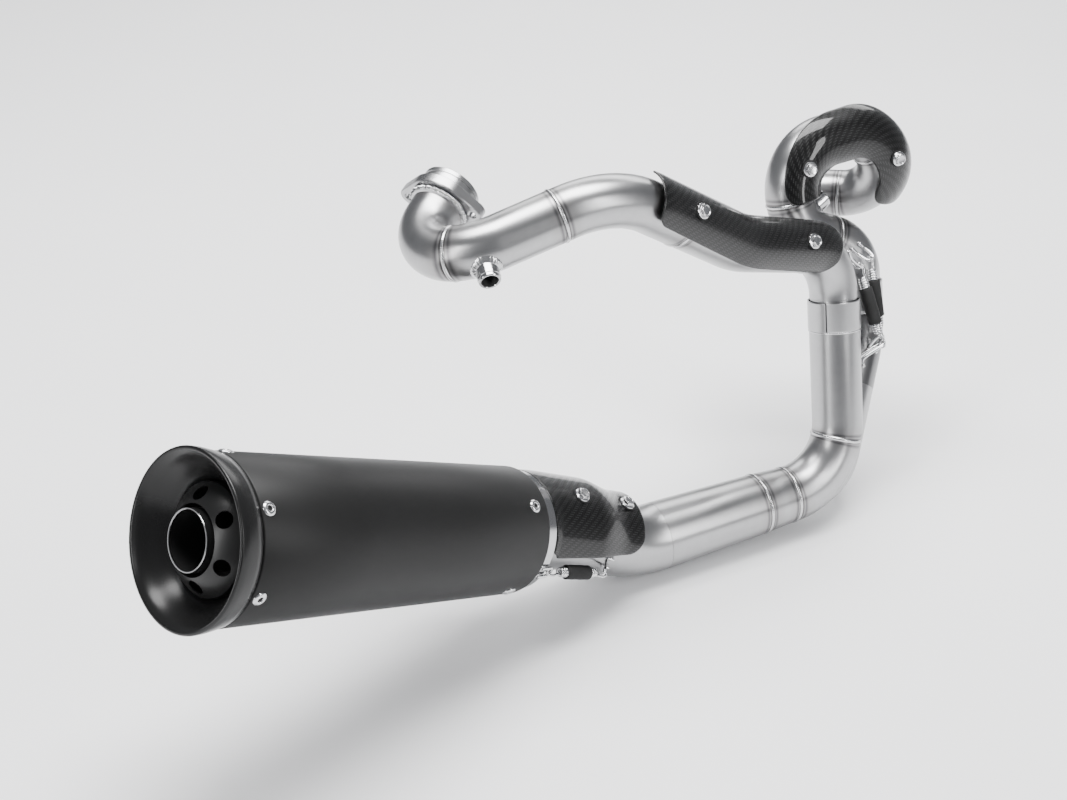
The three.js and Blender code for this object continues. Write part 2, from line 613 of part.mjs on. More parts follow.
// the loop's feet lie on the nearest tube wall, further along the tube by a reach
function hookOnTube(name, barCentre, route, radius, reach) {
  const length = route.getLength();
  let nearest = 0;
  for (let distance = 0; distance <= length; distance += 1) {
    const here = route.getPoint(distance / length).distanceTo(barCentre);
    if (here < route.getPoint(nearest / length).distanceTo(barCentre)) nearest = distance;
  }
  const facing = barCentre.clone().sub(route.getPoint(nearest / length));
  const seat = (distance) => {
    const { point, normal } = stationOf(route, distance, facing);
    return along(point, normal, radius + LIFT);
  };
  const { tangent, normal } = stationOf(route, nearest, facing);
  const across = tangent.clone().cross(normal);
  wireHook(name, barCentre, seat(nearest + reach), seat(nearest + reach * 1.7), across);
}

function tensionSpring(name, from, to, outward) {
  const run = to.clone().sub(from).normalize();
  const lift = squareTo(outward, run);
  const coilGap = 13;
  const eye = (origin, away) => {
    const at = (a, n) => along(along(origin, away, a), lift, n);
    return sweep(new THREE.CatmullRomCurve3([
      at(coilGap + 2, 0), at(coilGap - 4, 1.6), at(4, HOOK_RADIUS), at(0, HOOK_RADIUS),
      at(-2.4, 2.3), at(-HOOK_RADIUS, 0), at(-2.4, -2.3), at(0, -HOOK_RADIUS),
    ], false, 'centripetal'), SPRING_WIRE_RADIUS, 0, 9, 5);
  };
  const span = from.distanceTo(to);
  const coil = placed(bar(COIL_RADIUS, coilGap, span - coilGap, 10), from, run);
  addMesh(exhaust, name, joined(coil, eye(from, run), eye(to, run.clone().negate())), zincPlate);
  const margin = coilGap + 6;
  addMesh(exhaust, `${name.replace('spring', 'sleeve')}`, placed(turned([
    [COIL_RADIUS + 0.4, margin], [RUBBER_RADIUS, margin], [RUBBER_RADIUS, span - margin],
    [COIL_RADIUS + 0.4, span - margin],
  ], 12), from, run), blackRubber);
}

const REAR_SPRING = [new THREE.Vector3(399, -54, -136), new THREE.Vector3(407, -89, -204)];
tensionSpring('rear_joint_spring', ...REAR_SPRING, new THREE.Vector3(0.9, -0.4, 0));
hookOnTube('rear_header_hook', REAR_SPRING[0], rearRoute, HEADER_RADIUS, -9);
hookOnTube('rear_collector_hook', REAR_SPRING[1], lowerRoute, LOWER_RADIUS, 11);

const FRONT_SPRING = [new THREE.Vector3(415, -49, -133), new THREE.Vector3(416, -76, -205)];
tensionSpring('front_joint_spring', ...FRONT_SPRING, new THREE.Vector3(-0.1, -1, 0));
hookOnTube('front_header_hook', FRONT_SPRING[0], frontRoute, HEADER_RADIUS, -9);
hookOnTube('front_collector_hook', FRONT_SPRING[1], mergeRoute, LOWER_RADIUS, 11);

const MUFFLER_SPRING = [new THREE.Vector3(9.5, -168.6, -277.3), new THREE.Vector3(66, -161, -304)];
tensionSpring('muffler_joint_spring', ...MUFFLER_SPRING, new THREE.Vector3(-0.3, -0.8, -0.5));
const ringOut = squareTo(MUFFLER_SPRING[0].clone().sub(MUFFLER_FRONT), MUFFLER_AXIS);
const onRing = (z) => along(along(MUFFLER_FRONT, MUFFLER_AXIS, z), ringOut, FRONT_RING_RADIUS + LIFT);
wireHook('muffler_hook', MUFFLER_SPRING[0], onRing(-9), onRing(-2), ringOut.clone().cross(MUFFLER_AXIS));
hookOnTube('link_pipe_hook', MUFFLER_SPRING[1], linkRoute, LINK_RADIUS, -11);

export default exhaust;
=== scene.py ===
"""Two-into-one motorcycle racing exhaust system: the visual model, in metres, on the CAD frame.
Lengths in this script are millimetres until a mesh is made."""
import math
import random

import bmesh
import bpy
from mathutils import Matrix, Quaternion, Vector


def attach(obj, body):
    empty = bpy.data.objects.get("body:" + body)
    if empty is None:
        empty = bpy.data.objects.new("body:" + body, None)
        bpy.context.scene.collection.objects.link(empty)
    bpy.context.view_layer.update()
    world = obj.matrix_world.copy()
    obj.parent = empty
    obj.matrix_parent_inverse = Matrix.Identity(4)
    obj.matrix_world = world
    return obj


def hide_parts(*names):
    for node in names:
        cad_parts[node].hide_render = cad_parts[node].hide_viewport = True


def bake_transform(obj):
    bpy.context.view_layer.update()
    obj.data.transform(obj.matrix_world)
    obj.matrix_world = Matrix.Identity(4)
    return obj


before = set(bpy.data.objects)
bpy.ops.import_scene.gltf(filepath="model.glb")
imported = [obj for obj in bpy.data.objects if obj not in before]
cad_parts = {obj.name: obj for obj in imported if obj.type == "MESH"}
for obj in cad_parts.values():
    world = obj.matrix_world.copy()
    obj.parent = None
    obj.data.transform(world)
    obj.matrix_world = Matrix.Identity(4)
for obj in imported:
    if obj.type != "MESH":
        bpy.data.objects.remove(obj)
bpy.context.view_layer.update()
random.seed(7)

MM = 0.001
Y_AXIS, Z_AXIS = Vector((0, 1, 0)), Vector((0, 0, 1))

# ------------------------ sizes, as in the CAD model
# The header and link radii are a hair under the CAD ones: these rounder tubes stay in its box.
HEADER_R = 22.48
SLIP_R = 22.0
LOWER_R = 23.9
COLLAR_R = 24.7
COLLAR_BORE = 23.0
COLLECTOR_R = 26.6
LINK_R = 31.57
WALL = 1.2
SEAM_GAP = 0.35
HALF = SEAM_GAP / 2
FLANGE_T = 9
STUD_SPACING = 60
SPIGOT_L = 12
SPIGOT_R = 25.5
SHIELD_T = 1.8
STANDOFF = 5.2
WIRE_R = 1.5
SPRING_WIRE_R = 1.1
COIL_R = 4.8
RUBBER_R = 6.4
HOOK_R = 3.3
SLIP_LENGTH = 43
TUBE_SIDES = 72
TUBE_STEP = 1.6
FAR = 100.0
UP = Vector((0.087, 0.315, 0.945)).normalized()
REAR_AXIS = Vector((-0.77, -0.5, -0.395)).normalized()
FRONT_AXIS = Vector((83, -79, 10)).normalized()
REAR_SLIP = Vector((366, -65, -171))
FRONT_SLIP = Vector((418.6, -30.7, -180))
FRONT_FLANGE = Vector((410, 82, -117))
MUFFLER_AXIS = Vector((-0.883, -0.22, 0.414)).normalized()
MUFFLER_FRONT = Vector((-10.4, -121.3, -257.3))


# ------------------------ centre lines
def corner(point, radius=0):
    return (point.x, point.y, point.z, radius)


class Route:
    """Straight runs joined by arcs at the corners, measured along its length."""

    def __init__(self, corners):
        points = [Vector(c[:3]) for c in corners]
        self.parts = []
        self.marks = [0.0]
        start = points[0]
        for i in range(1, len(points) - 1):
            before = (points[i] - points[i - 1]).normalized()
            after = (points[i + 1] - points[i]).normalized()
            turn = before.angle(after)
            radius = corners[i][3]
            setback = radius * math.tan(turn / 2)
            entry = points[i] - before * setback
            leave = points[i] + after * setback
            inward = (after - before).normalized()
            centre = points[i] + inward * (radius / math.cos(turn / 2))
            self.line(start, entry)
            self.arc(centre, entry, before, turn, radius)
            start = leave
        self.line(start, points[-1])
        self.length = self.marks[-1]

    def line(self, a, b):
        way = (b - a).normalized()
        self.parts.append(lambda s: (a + way * s, way))
        self.marks.append(self.marks[-1] + (b - a).length)

    def arc(self, centre, entry, way, turn, radius):
        spoke = entry - centre

        def place(s):
            angle = s / radius
            point = centre + spoke * math.cos(angle) + way * (radius * math.sin(angle))
            return point, way * math.cos(angle) - spoke.normalized() * math.sin(angle)
        self.parts.append(place)
        self.marks.append(self.marks[-1] + turn * radius)

    def at(self, s):
        for i, part in enumerate(self.parts):
            if s <= self.marks[i + 1] or i == len(self.parts) - 1:
                return part(s - self.marks[i])

    def station(self, s, facing):
        point, way = self.at(s)
        normal = (facing - way * facing.dot(way)).normalized()
        return point, way, normal, way.cross(normal)


REAR = Route([
    corner(REAR_AXIS * (FLANGE_T + SEAM_GAP)),
    corner(REAR_AXIS * 68.5, 34),
    (-11, -79, -11, 50),
    (109, -90, 20, 95),
    (244, -72, -70, 110),
    corner(REAR_SLIP + UP * 60, 52),
    corner(REAR_SLIP - UP * 28),
])
FRONT = Route([
    corner(FRONT_FLANGE + FRONT_AXIS * (FLANGE_T + SEAM_GAP)),
    (493, 3, -107, 40),
    (444, 18, -32, 46),
    (358, 22, -39, 46),
    (357, -2, -110, 46),
    corner(FRONT_SLIP + UP * 47, 40),
    corner(FRONT_SLIP - UP * 28),
])
LINK = Route([
    (352, -116, -323, 0),
    (126, -111, -326, 95),
    corner(MUFFLER_FRONT - MUFFLER_AXIS * 22, 60),
    corner(MUFFLER_FRONT + MUFFLER_AXIS * 24),
])
LOWER = Route([corner(REAR_SLIP), (352, -116, -323, 64), (292, -115, -323.6, 0)])
MERGE = Route([
    corner(FRONT_SLIP),
    corner(FRONT_SLIP - UP * 46, 60),
    (344, -110, -320, 50),
    (292, -115, -323.6, 0),
])


# ------------------------ node materials
def material(name):
    m = bpy.data.materials.new(name)
    m.use_nodes = True
    tree = m.node_tree
    tree.nodes.clear()
    out = tree.nodes.new("ShaderNodeOutputMaterial")
    shader = tree.nodes.new("ShaderNodeBsdfPrincipled")
    tree.links.new(shader.outputs[0], out.inputs[0])
    return m, tree, shader


def put(tree, kind, inputs=None, **settings):
    node = tree.nodes.new(kind)
    for key, value in settings.items():
        setattr(node, key, value)
    for key, value in (inputs or {}).items():
        if isinstance(value, bpy.types.NodeSocket):
            tree.links.new(value, node.inputs[key])
        else:
            node.inputs[key].default_value = value
    return node


def maths(tree, operation, *values):
    node = tree.nodes.new("ShaderNodeMath")
    node.operation = operation
    for i, value in enumerate(values):
        if isinstance(value, bpy.types.NodeSocket):
            tree.links.new(value, node.inputs[i])
        else:
            node.inputs[i].default_value = value
    return node.outputs[0]


def plus(tree, base, value, gain):
    return maths(tree, "ADD", base, maths(tree, "MULTIPLY", value, gain))


def ramp(tree, value, stops):
    node = tree.nodes.new("ShaderNodeValToRGB")
    elements = node.color_ramp.elements
    while len(elements) < len(stops):
        elements.new(0.5)
    for element, (place, colour) in zip(elements, stops):
        element.position = place
        element.color = (*colour, 1)
    tree.links.new(value, node.inputs[0])
    return node.outputs[0]


def grey(value):
    return (value, value, value * 1.01)


def noise(tree, scale, detail=4.0, coordinates=None, roughness=0.55):
    node = put(tree, "ShaderNodeTexNoise", {"Scale": scale, "Detail": detail, "Roughness": roughness})
    if coordinates is not None:
        tree.links.new(coordinates, node.inputs["Vector"])
    return node.outputs["Fac"]


def stretched(tree, source, scale):
    node = put(tree, "ShaderNodeMapping", {"Vector": source, "Scale": scale})
    return node.outputs[0]


def object_place(tree):
    return put(tree, "ShaderNodeTexCoord").outputs["Object"]


def multiplied(tree, factor, a, b):
    mix = put(tree, "ShaderNodeMix", {"Factor": factor}, data_type="RGBA", blend_type="MULTIPLY")
    tree.links.new(a, mix.inputs["A"])
    tree.links.new(b, mix.inputs["B"])
    return mix.outputs["Result"]


def either(tree, choice, a, b):
    mix = put(tree, "ShaderNodeMix", {"Factor": choice}, data_type="FLOAT")
    tree.links.new(a, mix.inputs["A"])
    tree.links.new(b, mix.inputs["B"])
    return mix.outputs["Result"]


def paint(tree, shader, value, *stops):
    """Base colour from a grey ramp over a value."""
    colour = ramp(tree, value, [(place, grey(tone)) for place, tone in stops])
    tree.links.new(colour, shader.inputs["Base Color"])


def fix(shader, values):
    for key, value in values.items():
        shader.inputs[key].default_value = value


def bump(tree, shader, height, strength, distance=0.001, before=None):
    values = {"Height": height, "Strength": strength, "Distance": distance}
    node = put(tree, "ShaderNodeBump", values)
    if before is not None:
        tree.links.new(before, node.inputs["Normal"])
    tree.links.new(node.outputs[0], shader.inputs["Normal"])
    return node.outputs[0]


def steel(name, tone, roughness, brushing=1.0, tinted=True, spread=0.06):
    """Satin stainless: polishing lines round the tube, cloudy patches and dark tint by the welds."""
    m, tree, shader = material(name)
    uv = put(tree, "ShaderNodeUVMap").outputs[0]
    place = object_place(tree)
    lines = noise(tree, 1.0, 3.0, stretched(tree, uv, (1400, 26, 1)), 0.7)
    cloud = noise(tree, 16.0, 4.0, place)
    fine = noise(tree, 130.0, 3.0, place)
    rough = plus(tree, plus(tree, roughness - spread, cloud, spread * 1.4), lines, spread * 0.8)
    tree.links.new(rough, shader.inputs["Roughness"])
    base = ramp(tree, cloud, [(0.3, grey(tone * 0.92)), (0.7, grey(tone))])
    colour = multiplied(tree, 0.12, base, ramp(tree, fine, [(0.3, grey(0.55)), (0.7, grey(1.0))]))
    if tinted:
        seam = put(tree, "ShaderNodeAttribute", attribute_name="seam").outputs["Fac"]
        distance = plus(tree, seam, maths(tree, "SUBTRACT", cloud, 0.5), 2.6)
        distance = maths(tree, "DIVIDE", distance, 30.0)
        tint = ramp(tree, distance, [
            (0.0, (0.55, 0.53, 0.51)), (0.05, (0.26, 0.25, 0.25)), (0.085, (0.80, 0.79, 0.78)),
            (0.14, (0.36, 0.35, 0.36)), (0.22, (0.88, 0.87, 0.86)), (0.5, (1, 1, 1)),
        ])
        colour = multiplied(tree, 1.0, colour, tint)
    tree.links.new(colour, shader.inputs["Base Color"])
    fix(shader, {"Metallic": 1.0, "Anisotropic": 0.35})
    first = bump(tree, shader, lines, 0.10 * brushing, 0.0002)
    bump(tree, shader, cloud, 0.12, 0.0006, first)
    return m


def carbon(name, cell=1.9):
    """Two-by-two twill under clear lacquer: rounded tows, with painted sheen on their crowns and on
    one set of tows.
    """
    m, tree, shader = material(name)
    uv = put(tree, "ShaderNodeUVMap").outputs[0]
    cells = stretched(tree, uv, (1000 / cell, 1000 / cell, 1))
    axes = put(tree, "ShaderNodeSeparateXYZ", {"Vector": cells})
    u, v = axes.outputs[0], axes.outputs[1]
    step = maths(tree, "ADD", maths(tree, "FLOOR", u), maths(tree, "FLOOR", v))
    over = maths(tree, "LESS_THAN", maths(tree, "FLOORED_MODULO", step, 4.0), 2.0)
    crown_u = maths(tree, "SINE", maths(tree, "MULTIPLY", maths(tree, "FRACT", u), math.pi))
    crown_v = maths(tree, "SINE", maths(tree, "MULTIPLY", maths(tree, "FRACT", v), math.pi))
    height = either(tree, over, crown_u, crown_v)
    fibre_u = noise(tree, 1.0, 2.0, stretched(tree, cells, (0.6, 9, 1)))
    fibre_v = noise(tree, 1.0, 2.0, stretched(tree, cells, (9, 0.6, 1)))
    fibre = either(tree, over, fibre_u, fibre_v)
    # painted sheen on a real weave: each tow is lighter along its crown, and the tows of one way
    # lighter than the other
    tone = maths(tree, "MULTIPLY", height, maths(tree, "ADD", fibre, 0.2))
    tone = maths(tree, "MULTIPLY", tone, plus(tree, 0.35, over, 0.5))
    paint(tree, shader, tone, (0.05, 0.001), (0.5, 0.009), (0.9, 0.075))
    fix(shader, {"Roughness": 0.36, "Metallic": 0.35, "Specular IOR Level": 0.2,
                 "Coat Weight": 0.8, "Coat IOR": 1.36, "Coat Roughness": 0.035})
    bump(tree, shader, height, 0.35, 0.0003)
    return m


def coating(name, tone, roughness, grain=420.0, strength=0.12, gloss=0.22):
    """Baked-on black: fine orange peel, faint cloudy wear and a slightly uneven sheen."""
    m, tree, shader = material(name)
    place = object_place(tree)
    cloud = noise(tree, 11.0, 5.0, place)
    peel = noise(tree, grain, 3.0, place)
    paint(tree, shader, cloud, (0.25, tone * 0.86), (0.75, tone * 1.12))
    tree.links.new(plus(tree, roughness - 0.05, cloud, 0.1), shader.inputs["Roughness"])
    fix(shader, {"Specular IOR Level": gloss})
    bump(tree, shader, peel, strength, 0.0002)
    return m


def rubber(name):
    m, tree, shader = material(name)
    place = object_place(tree)
    speck = noise(tree, 900.0, 4.0, place)
    cloud = noise(tree, 60.0, 3.0, place)
    paint(tree, shader, cloud, (0.3, 0.010), (0.7, 0.017))
    tree.links.new(plus(tree, 0.62, speck, 0.2), shader.inputs["Roughness"])
    fix(shader, {"Specular IOR Level": 0.25})
    bump(tree, shader, speck, 0.3, 0.0002)
    return m


def wool(name):
    m, tree, shader = material(name)
    place = object_place(tree)
    strands = noise(tree, 1.0, 6.0, stretched(tree, place, (260, 90, 260)), 0.8)
    tree.links.new(ramp(tree, strands, [(0.3, (0.42, 0.38, 0.26)), (0.7, (0.78, 0.74, 0.6))]),
                   shader.inputs["Base Color"])
    fix(shader, {"Roughness": 0.95})
    bump(tree, shader, strands, 0.8, 0.002)
    return m


STEEL = steel("satin_steel", 0.40, 0.29)
# a darker copy of the satin steel, used on the front down tube
STEEL_DARK = steel("darker_satin_steel", 0.20, 0.28)
POLISHED = steel("polished_steel", 0.50, 0.13, 0.4, tinted=False, spread=0.04)
MACHINED = steel("machined_steel", 0.40, 0.27, 0.8, tinted=False)
BEAD = steel("weld_bead", 0.60, 0.24, 0.4, tinted=False)
ZINC = steel("zinc_plate", 0.62, 0.20, 0.3, tinted=False)
WIRE = steel("spring_wire", 0.72, 0.16, 0.3, tinted=False)
CARBON = carbon("twill_carbon")
BLACK = coating("muffler_coat", 0.008, 0.44, 520.0, 0.10, 0.20)
BELL = coating("bell_coat", 0.007, 0.26, 700.0, 0.06, 0.26)
INSERT = coating("insert_coat", 0.009, 0.34, 700.0, 0.08, 0.3)
RUBBER = rubber("black_rubber")
# dark coat for the bolt washers; it also lines the sensor bores and fills the rivet sockets as
# painted shade
WASHER_COAT_AND_HOLE_SHADE = coating("dark_washer_and_painted_hole_shade", 0.012, 0.55, 300.0, 0.1)
WOOL = wool("glass_wool")


# ------------------------ meshes
class Patch:
    """Vertices in millimetres with faces, texture coordinates and a distance to the nearest weld."""

    def __init__(self):
        self.points, self.faces, self.uvs, self.seams = [], [], [], []

    def row(self, points, uvs, seam=FAR):
        start = len(self.points)
        self.points += points
        self.uvs += uvs
        self.seams += [seam] * len(points)
        return start

    def strip(self, a, b, count, ring):
        for j in range(count if ring else count - 1):
            k = (j + 1) % count
            self.faces.append((a + j, a + k, b + k, b + j))

    def skin(self, rows, count, ring=True):
        for a, b in zip(rows, rows[1:]):
            self.strip(a, b, count, ring)

    def build(self, name, look, body, nodes=(), sharp=35):
        mesh = bpy.data.meshes.new(name)
        mesh.from_pydata([tuple(p * MM) for p in self.points], [], self.faces)
        mesh.validate()
        layer = mesh.uv_layers.new(name="UVMap")
        for loop in mesh.loops:
            layer.data[loop.index].uv = self.uvs[loop.vertex_index]
        seams = mesh.attributes.new("seam", "FLOAT", "POINT")
        seams.data.foreach_set("value", self.seams)
        return finish_object(name, mesh, look, body, nodes, sharp)


def mesh_of(edit, name):
    mesh = bpy.data.meshes.new(name)
    edit.to_mesh(mesh)
    edit.free()
    mesh.uv_layers.new(name="UVMap")
    return mesh


def finish_object(name, mesh, look, body, nodes=(), sharp=35):
    edit = bmesh.new()
    edit.from_mesh(mesh)
    bmesh.ops.remove_doubles(edit, verts=edit.verts, dist=1e-7)
    bmesh.ops.recalc_face_normals(edit, faces=edit.faces)
    limit = math.radians(sharp)
    for face in edit.faces:
        face.smooth = True
    for edge in edit.edges:
        if len(edge.link_faces) == 2 and edge.calc_face_angle(0) > limit:
            edge.smooth = False
    edit.to_mesh(mesh)
    edit.free()
    mesh.materials.append(look)
    thing = bpy.data.objects.new(name, mesh)
    bpy.context.scene.collection.objects.link(thing)
    if body:
        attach(thing, body)
    if nodes:
        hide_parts(*nodes)
    return thing


def ring_frames(stations):
    """Rings that don't twist: (point, way, normal, side) at each (point, way)."""
    point, way = stations[0]
    normal = way.orthogonal().normalized()
    frames = []
    for point, next_way in stations:
        turn = way.rotation_difference(next_way)
        normal = (turn @ normal).normalized()
        normal = (normal - next_way * normal.dot(next_way)).normalized()
        way = next_way
        frames.append((point, way, normal, way.cross(normal)))
    return frames


def circle(point, normal, side, radius, sides):
    angles = [2 * math.pi / sides * j for j in range(sides)]
    return [point + (normal * math.cos(a) + side * math.sin(a)) * radius for a in angles]


def tube(name, route, start, end, radius, body, nodes=(), look=None, end_radius=None,
         welded=(True, True), build=True, patch=None):
    """A thin-walled pipe along part of a route; welded says which ends carry heat tint."""
    sides = TUBE_SIDES
    count = max(2, math.ceil((end - start) / TUBE_STEP))
    stations = [route.at(start + (end - start) * i / count) for i in range(count + 1)]
    patch = patch or Patch()
    final = radius if end_radius is None else end_radius
    rims = []
    for skin in (0, WALL):
        rows = []
        for i, (point, _, normal, side) in enumerate(ring_frames(stations)):
            t = i / count
            r = radius + (final - radius) * (3 * t * t - 2 * t ** 3 if end_radius else t) - skin
            s = start + (end - start) * t
            near = min([s - start] * welded[0] + [end - s] * welded[1] + [FAR])
            uvs = [(s * MM, 2 * math.pi * j / sides * r * MM) for j in range(sides)]
            rows.append(patch.row(circle(point, normal, side, r, sides), uvs, near))
        patch.skin(rows, sides)
        rims.append((rows[0], rows[-1]))
    for a, b in zip(*rims):
        patch.strip(a, b, sides, True)
    if build:
        return patch.build(name, look or STEEL, body, nodes)
    return patch


def lathe(name, origin, axis, profile, look, body, nodes=(), segments=128, sharp=35, loop=True):
    """profile: (radius, height) corners of a closed outline round the axis."""
    normal = axis.orthogonal().normalized()
    side = axis.cross(normal)
    patch = Patch()
    rows, travelled = [], 0.0
    outline = profile + [profile[0]] if loop else profile
    for i, (radius, height) in enumerate(outline):
        if i:
            travelled += math.hypot(radius - outline[i - 1][0], height - outline[i - 1][1])
        around = 2 * math.pi / segments * max(radius, 1) * MM
        ring = circle(origin + axis * height, normal, side, max(radius, 0.01), segments)
        rows.append(patch.row(ring, [(travelled * MM, around * j) for j in range(segments)]))
    patch.skin(rows, segments)
    return patch.build(name, look, body, nodes, sharp)


def smooth_path(points, per_span=10):
    """Points along a rounded line through the given ones."""
    padded = [points[0] * 2 - points[1]] + points + [points[-1] * 2 - points[-2]]
    path = []
    for i in range(1, len(padded) - 2):
        p0, p1, p2, p3 = padded[i - 1:i + 3]
        for k in range(per_span):
            t = k / per_span
            path.append(0.5 * ((2 * p1) + (p2 - p0) * t + (2 * p0 - 5 * p1 + 4 * p2 - p3) * t * t
                               + (3 * p1 - p0 - 3 * p2 + p3) * t ** 3))
    path.append(points[-1])
    return path


def wire_patch(path, radius, sides):
    """A round wire with closed ends along a path."""
    patch = Patch()
    last = len(path) - 1
    ways = [(path[min(i + 1, last)] - path[max(i - 1, 0)]).normalized() for i in range(len(path))]
    rows, travelled = [], 0.0
    for i, (point, _, normal, side) in enumerate(ring_frames(list(zip(path, ways)))):
        if i:
            travelled += (path[i] - path[i - 1]).length
        uvs = [(travelled * MM, j / sides * radius * 6 * MM) for j in range(sides)]
        rows.append(patch.row(circle(point, normal, side, radius, sides), uvs))
    patch.skin(rows, sides)
    for row in (rows[0], rows[-1]):
        patch.faces.append(tuple(range(row, row + sides)))
    return patch


def weld_ring(name, point, way, radius, body, width=1.7, rise=0.75, lumps=0.16, look=None):
    """A TIG bead: a low ring whose crown steps along in overlapping ripples."""
    normal = way.orthogonal().normalized()
    side = way.cross(normal)
    steps = int(2 * math.pi * radius / 0.55)
    ripples = int(2 * math.pi * radius / 1.5)
    patch = Patch()
    rows = []
    profile = ((-1, -0.5), (-0.75, 0.35), (-0.35, 0.85), (0, 1), (0.35, 0.85), (0.75, 0.35),
               (1, -0.5))
    wander = [random.uniform(-1, 1) for _ in range(12)]
    for across, height in profile:
        ring, uvs = [], []
        for j in range(steps):
            angle = 2 * math.pi * j / steps
            ripple = abs(math.sin(ripples * angle / 2 + across * 0.9))
            drift = 0.12 * sum(w * math.sin((n + 2) * angle + n) for n, w in enumerate(wander)) / 4
            r = radius + rise * height * (1 - lumps + lumps * 2 * ripple) + drift * lumps
            lean = across * width * (1 + 0.5 * drift) + drift * 0.6
            ring.append(point + (normal * math.cos(angle) + side * math.sin(angle)) * r + way * lean)
            uvs.append((angle * radius * MM, across * MM))
        rows.append(patch.row(ring, uvs))
    patch.skin(rows, steps)
    return patch.build(name, look or BEAD, body, sharp=80)


def weld_at(name, route, s, radius, body, **more):
    point, way = route.at(s)
    return weld_ring(name, point, way, radius, body, **more)


DRESSED = {"width": 1.2, "rise": 0.3, "look": STEEL}


# ------------------------ headers and collector
def port_flange(name, origin, axis, spin, body, node):
    """A two-eared plate with stud holes and a grooved spigot; spin turns the ears round the axis."""
    turn = Z_AXIS.rotation_difference(axis)
    first = turn @ Vector((math.cos(spin), math.sin(spin), 0))
    second = axis.cross(first)
    ear = STUD_SPACING / 2
    hub, ear_r, bore = SPIGOT_R + 4, 8.5, HEADER_R - WALL
    lean = math.acos((hub - ear_r) / ear)

    def arc(cx, radius, a, b, n):
        return [(cx + radius * math.cos(a + (b - a) * i / n), radius * math.sin(a + (b - a) * i / n))
                for i in range(n + 1)]
    outline = arc(ear, ear_r, -lean, lean, 14) + arc(0, hub, lean, math.pi - lean, 26)
    outline += arc(-ear, ear_r, math.pi - lean, math.pi + lean, 14)
    outline += arc(0, hub, math.pi + lean, 2 * math.pi - lean, 26)
    edit = bmesh.new()

    def loop(points, height):
        spots = [origin + first * x + second * y + axis * height for x, y in points]
        return [edit.verts.new(spot * MM) for spot in spots]

    def inset(points, amount):
        sized = [(x, y, math.hypot(x, y)) for x, y in points]
        return [(x - amount * x / far, y - amount * y / far) for x, y, far in sized]
    rings = [loop(inset(outline, 0.8), 0), loop(outline, 0.8), loop(outline, FLANGE_T - 0.8),
             loop(inset(outline, 0.8), FLANGE_T)]
    for a, b in zip(rings, rings[1:]):
        for j in range(len(a)):
            k = (j + 1) % len(a)
            edit.faces.new((a[j], a[k], b[k], b[j]))
    for ring in (rings[0], rings[-1]):
        holes = []
        height = 0 if ring is rings[0] else FLANGE_T
        for cx, radius, n in ((ear, 4.3, 24), (-ear, 4.3, 24), (0, bore, 64)):
            hole = loop(arc(cx, radius, 0, 2 * math.pi, n)[:-1], height)
            holes.append(hole)
        edges = []
        for cycle in [ring] + holes:
            for j in range(len(cycle)):
                a, b = cycle[j], cycle[(j + 1) % len(cycle)]
                edges.append(edit.edges.get((a, b)) or edit.edges.new((a, b)))
        bmesh.ops.triangle_fill(edit, use_beauty=True, edges=edges)
        if ring is rings[0]:
            low = holes
        else:
            for a, b in zip(low, holes):
                for j in range(len(a)):
                    k = (j + 1) % len(a)
                    edit.faces.new((a[j], a[k], b[k], b[j]))
    finish_object(name, mesh_of(edit, name), MACHINED, body, [node], 25)
    lathe(name + "_spigot", origin, axis, [
        (bore, 0.4), (bore, -SPIGOT_L), (SPIGOT_R - 1, -SPIGOT_L), (SPIGOT_R, 1 - SPIGOT_L),
        (SPIGOT_R, -7.4), (SPIGOT_R - 0.7, -7.0), (SPIGOT_R - 0.7, -5.4), (SPIGOT_R, -5.0),
        (SPIGOT_R, 0.4),
    ], MACHINED, body, segments=96, sharp=25)


def drilled(thing, point, normal, radius, low, high):
    """Cuts a round hole through a tube wall."""
    edit = bmesh.new()
    turn = Z_AXIS.rotation_difference(normal).to_matrix().to_4x4()
    place = Matrix.Translation((point + normal * (low + high) / 2) * MM) @ turn
    bmesh.ops.create_cone(edit, cap_ends=True, segments=40, radius1=radius * MM, radius2=radius * MM,
                          depth=(high - low) * MM, matrix=place)
    mesh = bpy.data.meshes.new("drill")
    edit.to_mesh(mesh)
    edit.free()
    tool = bpy.data.objects.new("drill", mesh)
    bpy.context.scene.collection.objects.link(tool)
    cut = thing.modifiers.new("hole", "BOOLEAN")
    cut.object = tool
    cut.operation = "DIFFERENCE"
    cut.solver = "EXACT"
    bpy.context.view_layer.update()
    graph = bpy.context.evaluated_depsgraph_get()
    result = bpy.data.meshes.new_from_object(thing.evaluated_get(graph))
    thing.modifiers.clear()
    thing.data = result
    bpy.data.objects.remove(tool)


BOSS_R, BOSS_BORE, BOSS_SEAT, BOSS_H = 9.6, 6.2, 20.5, 14


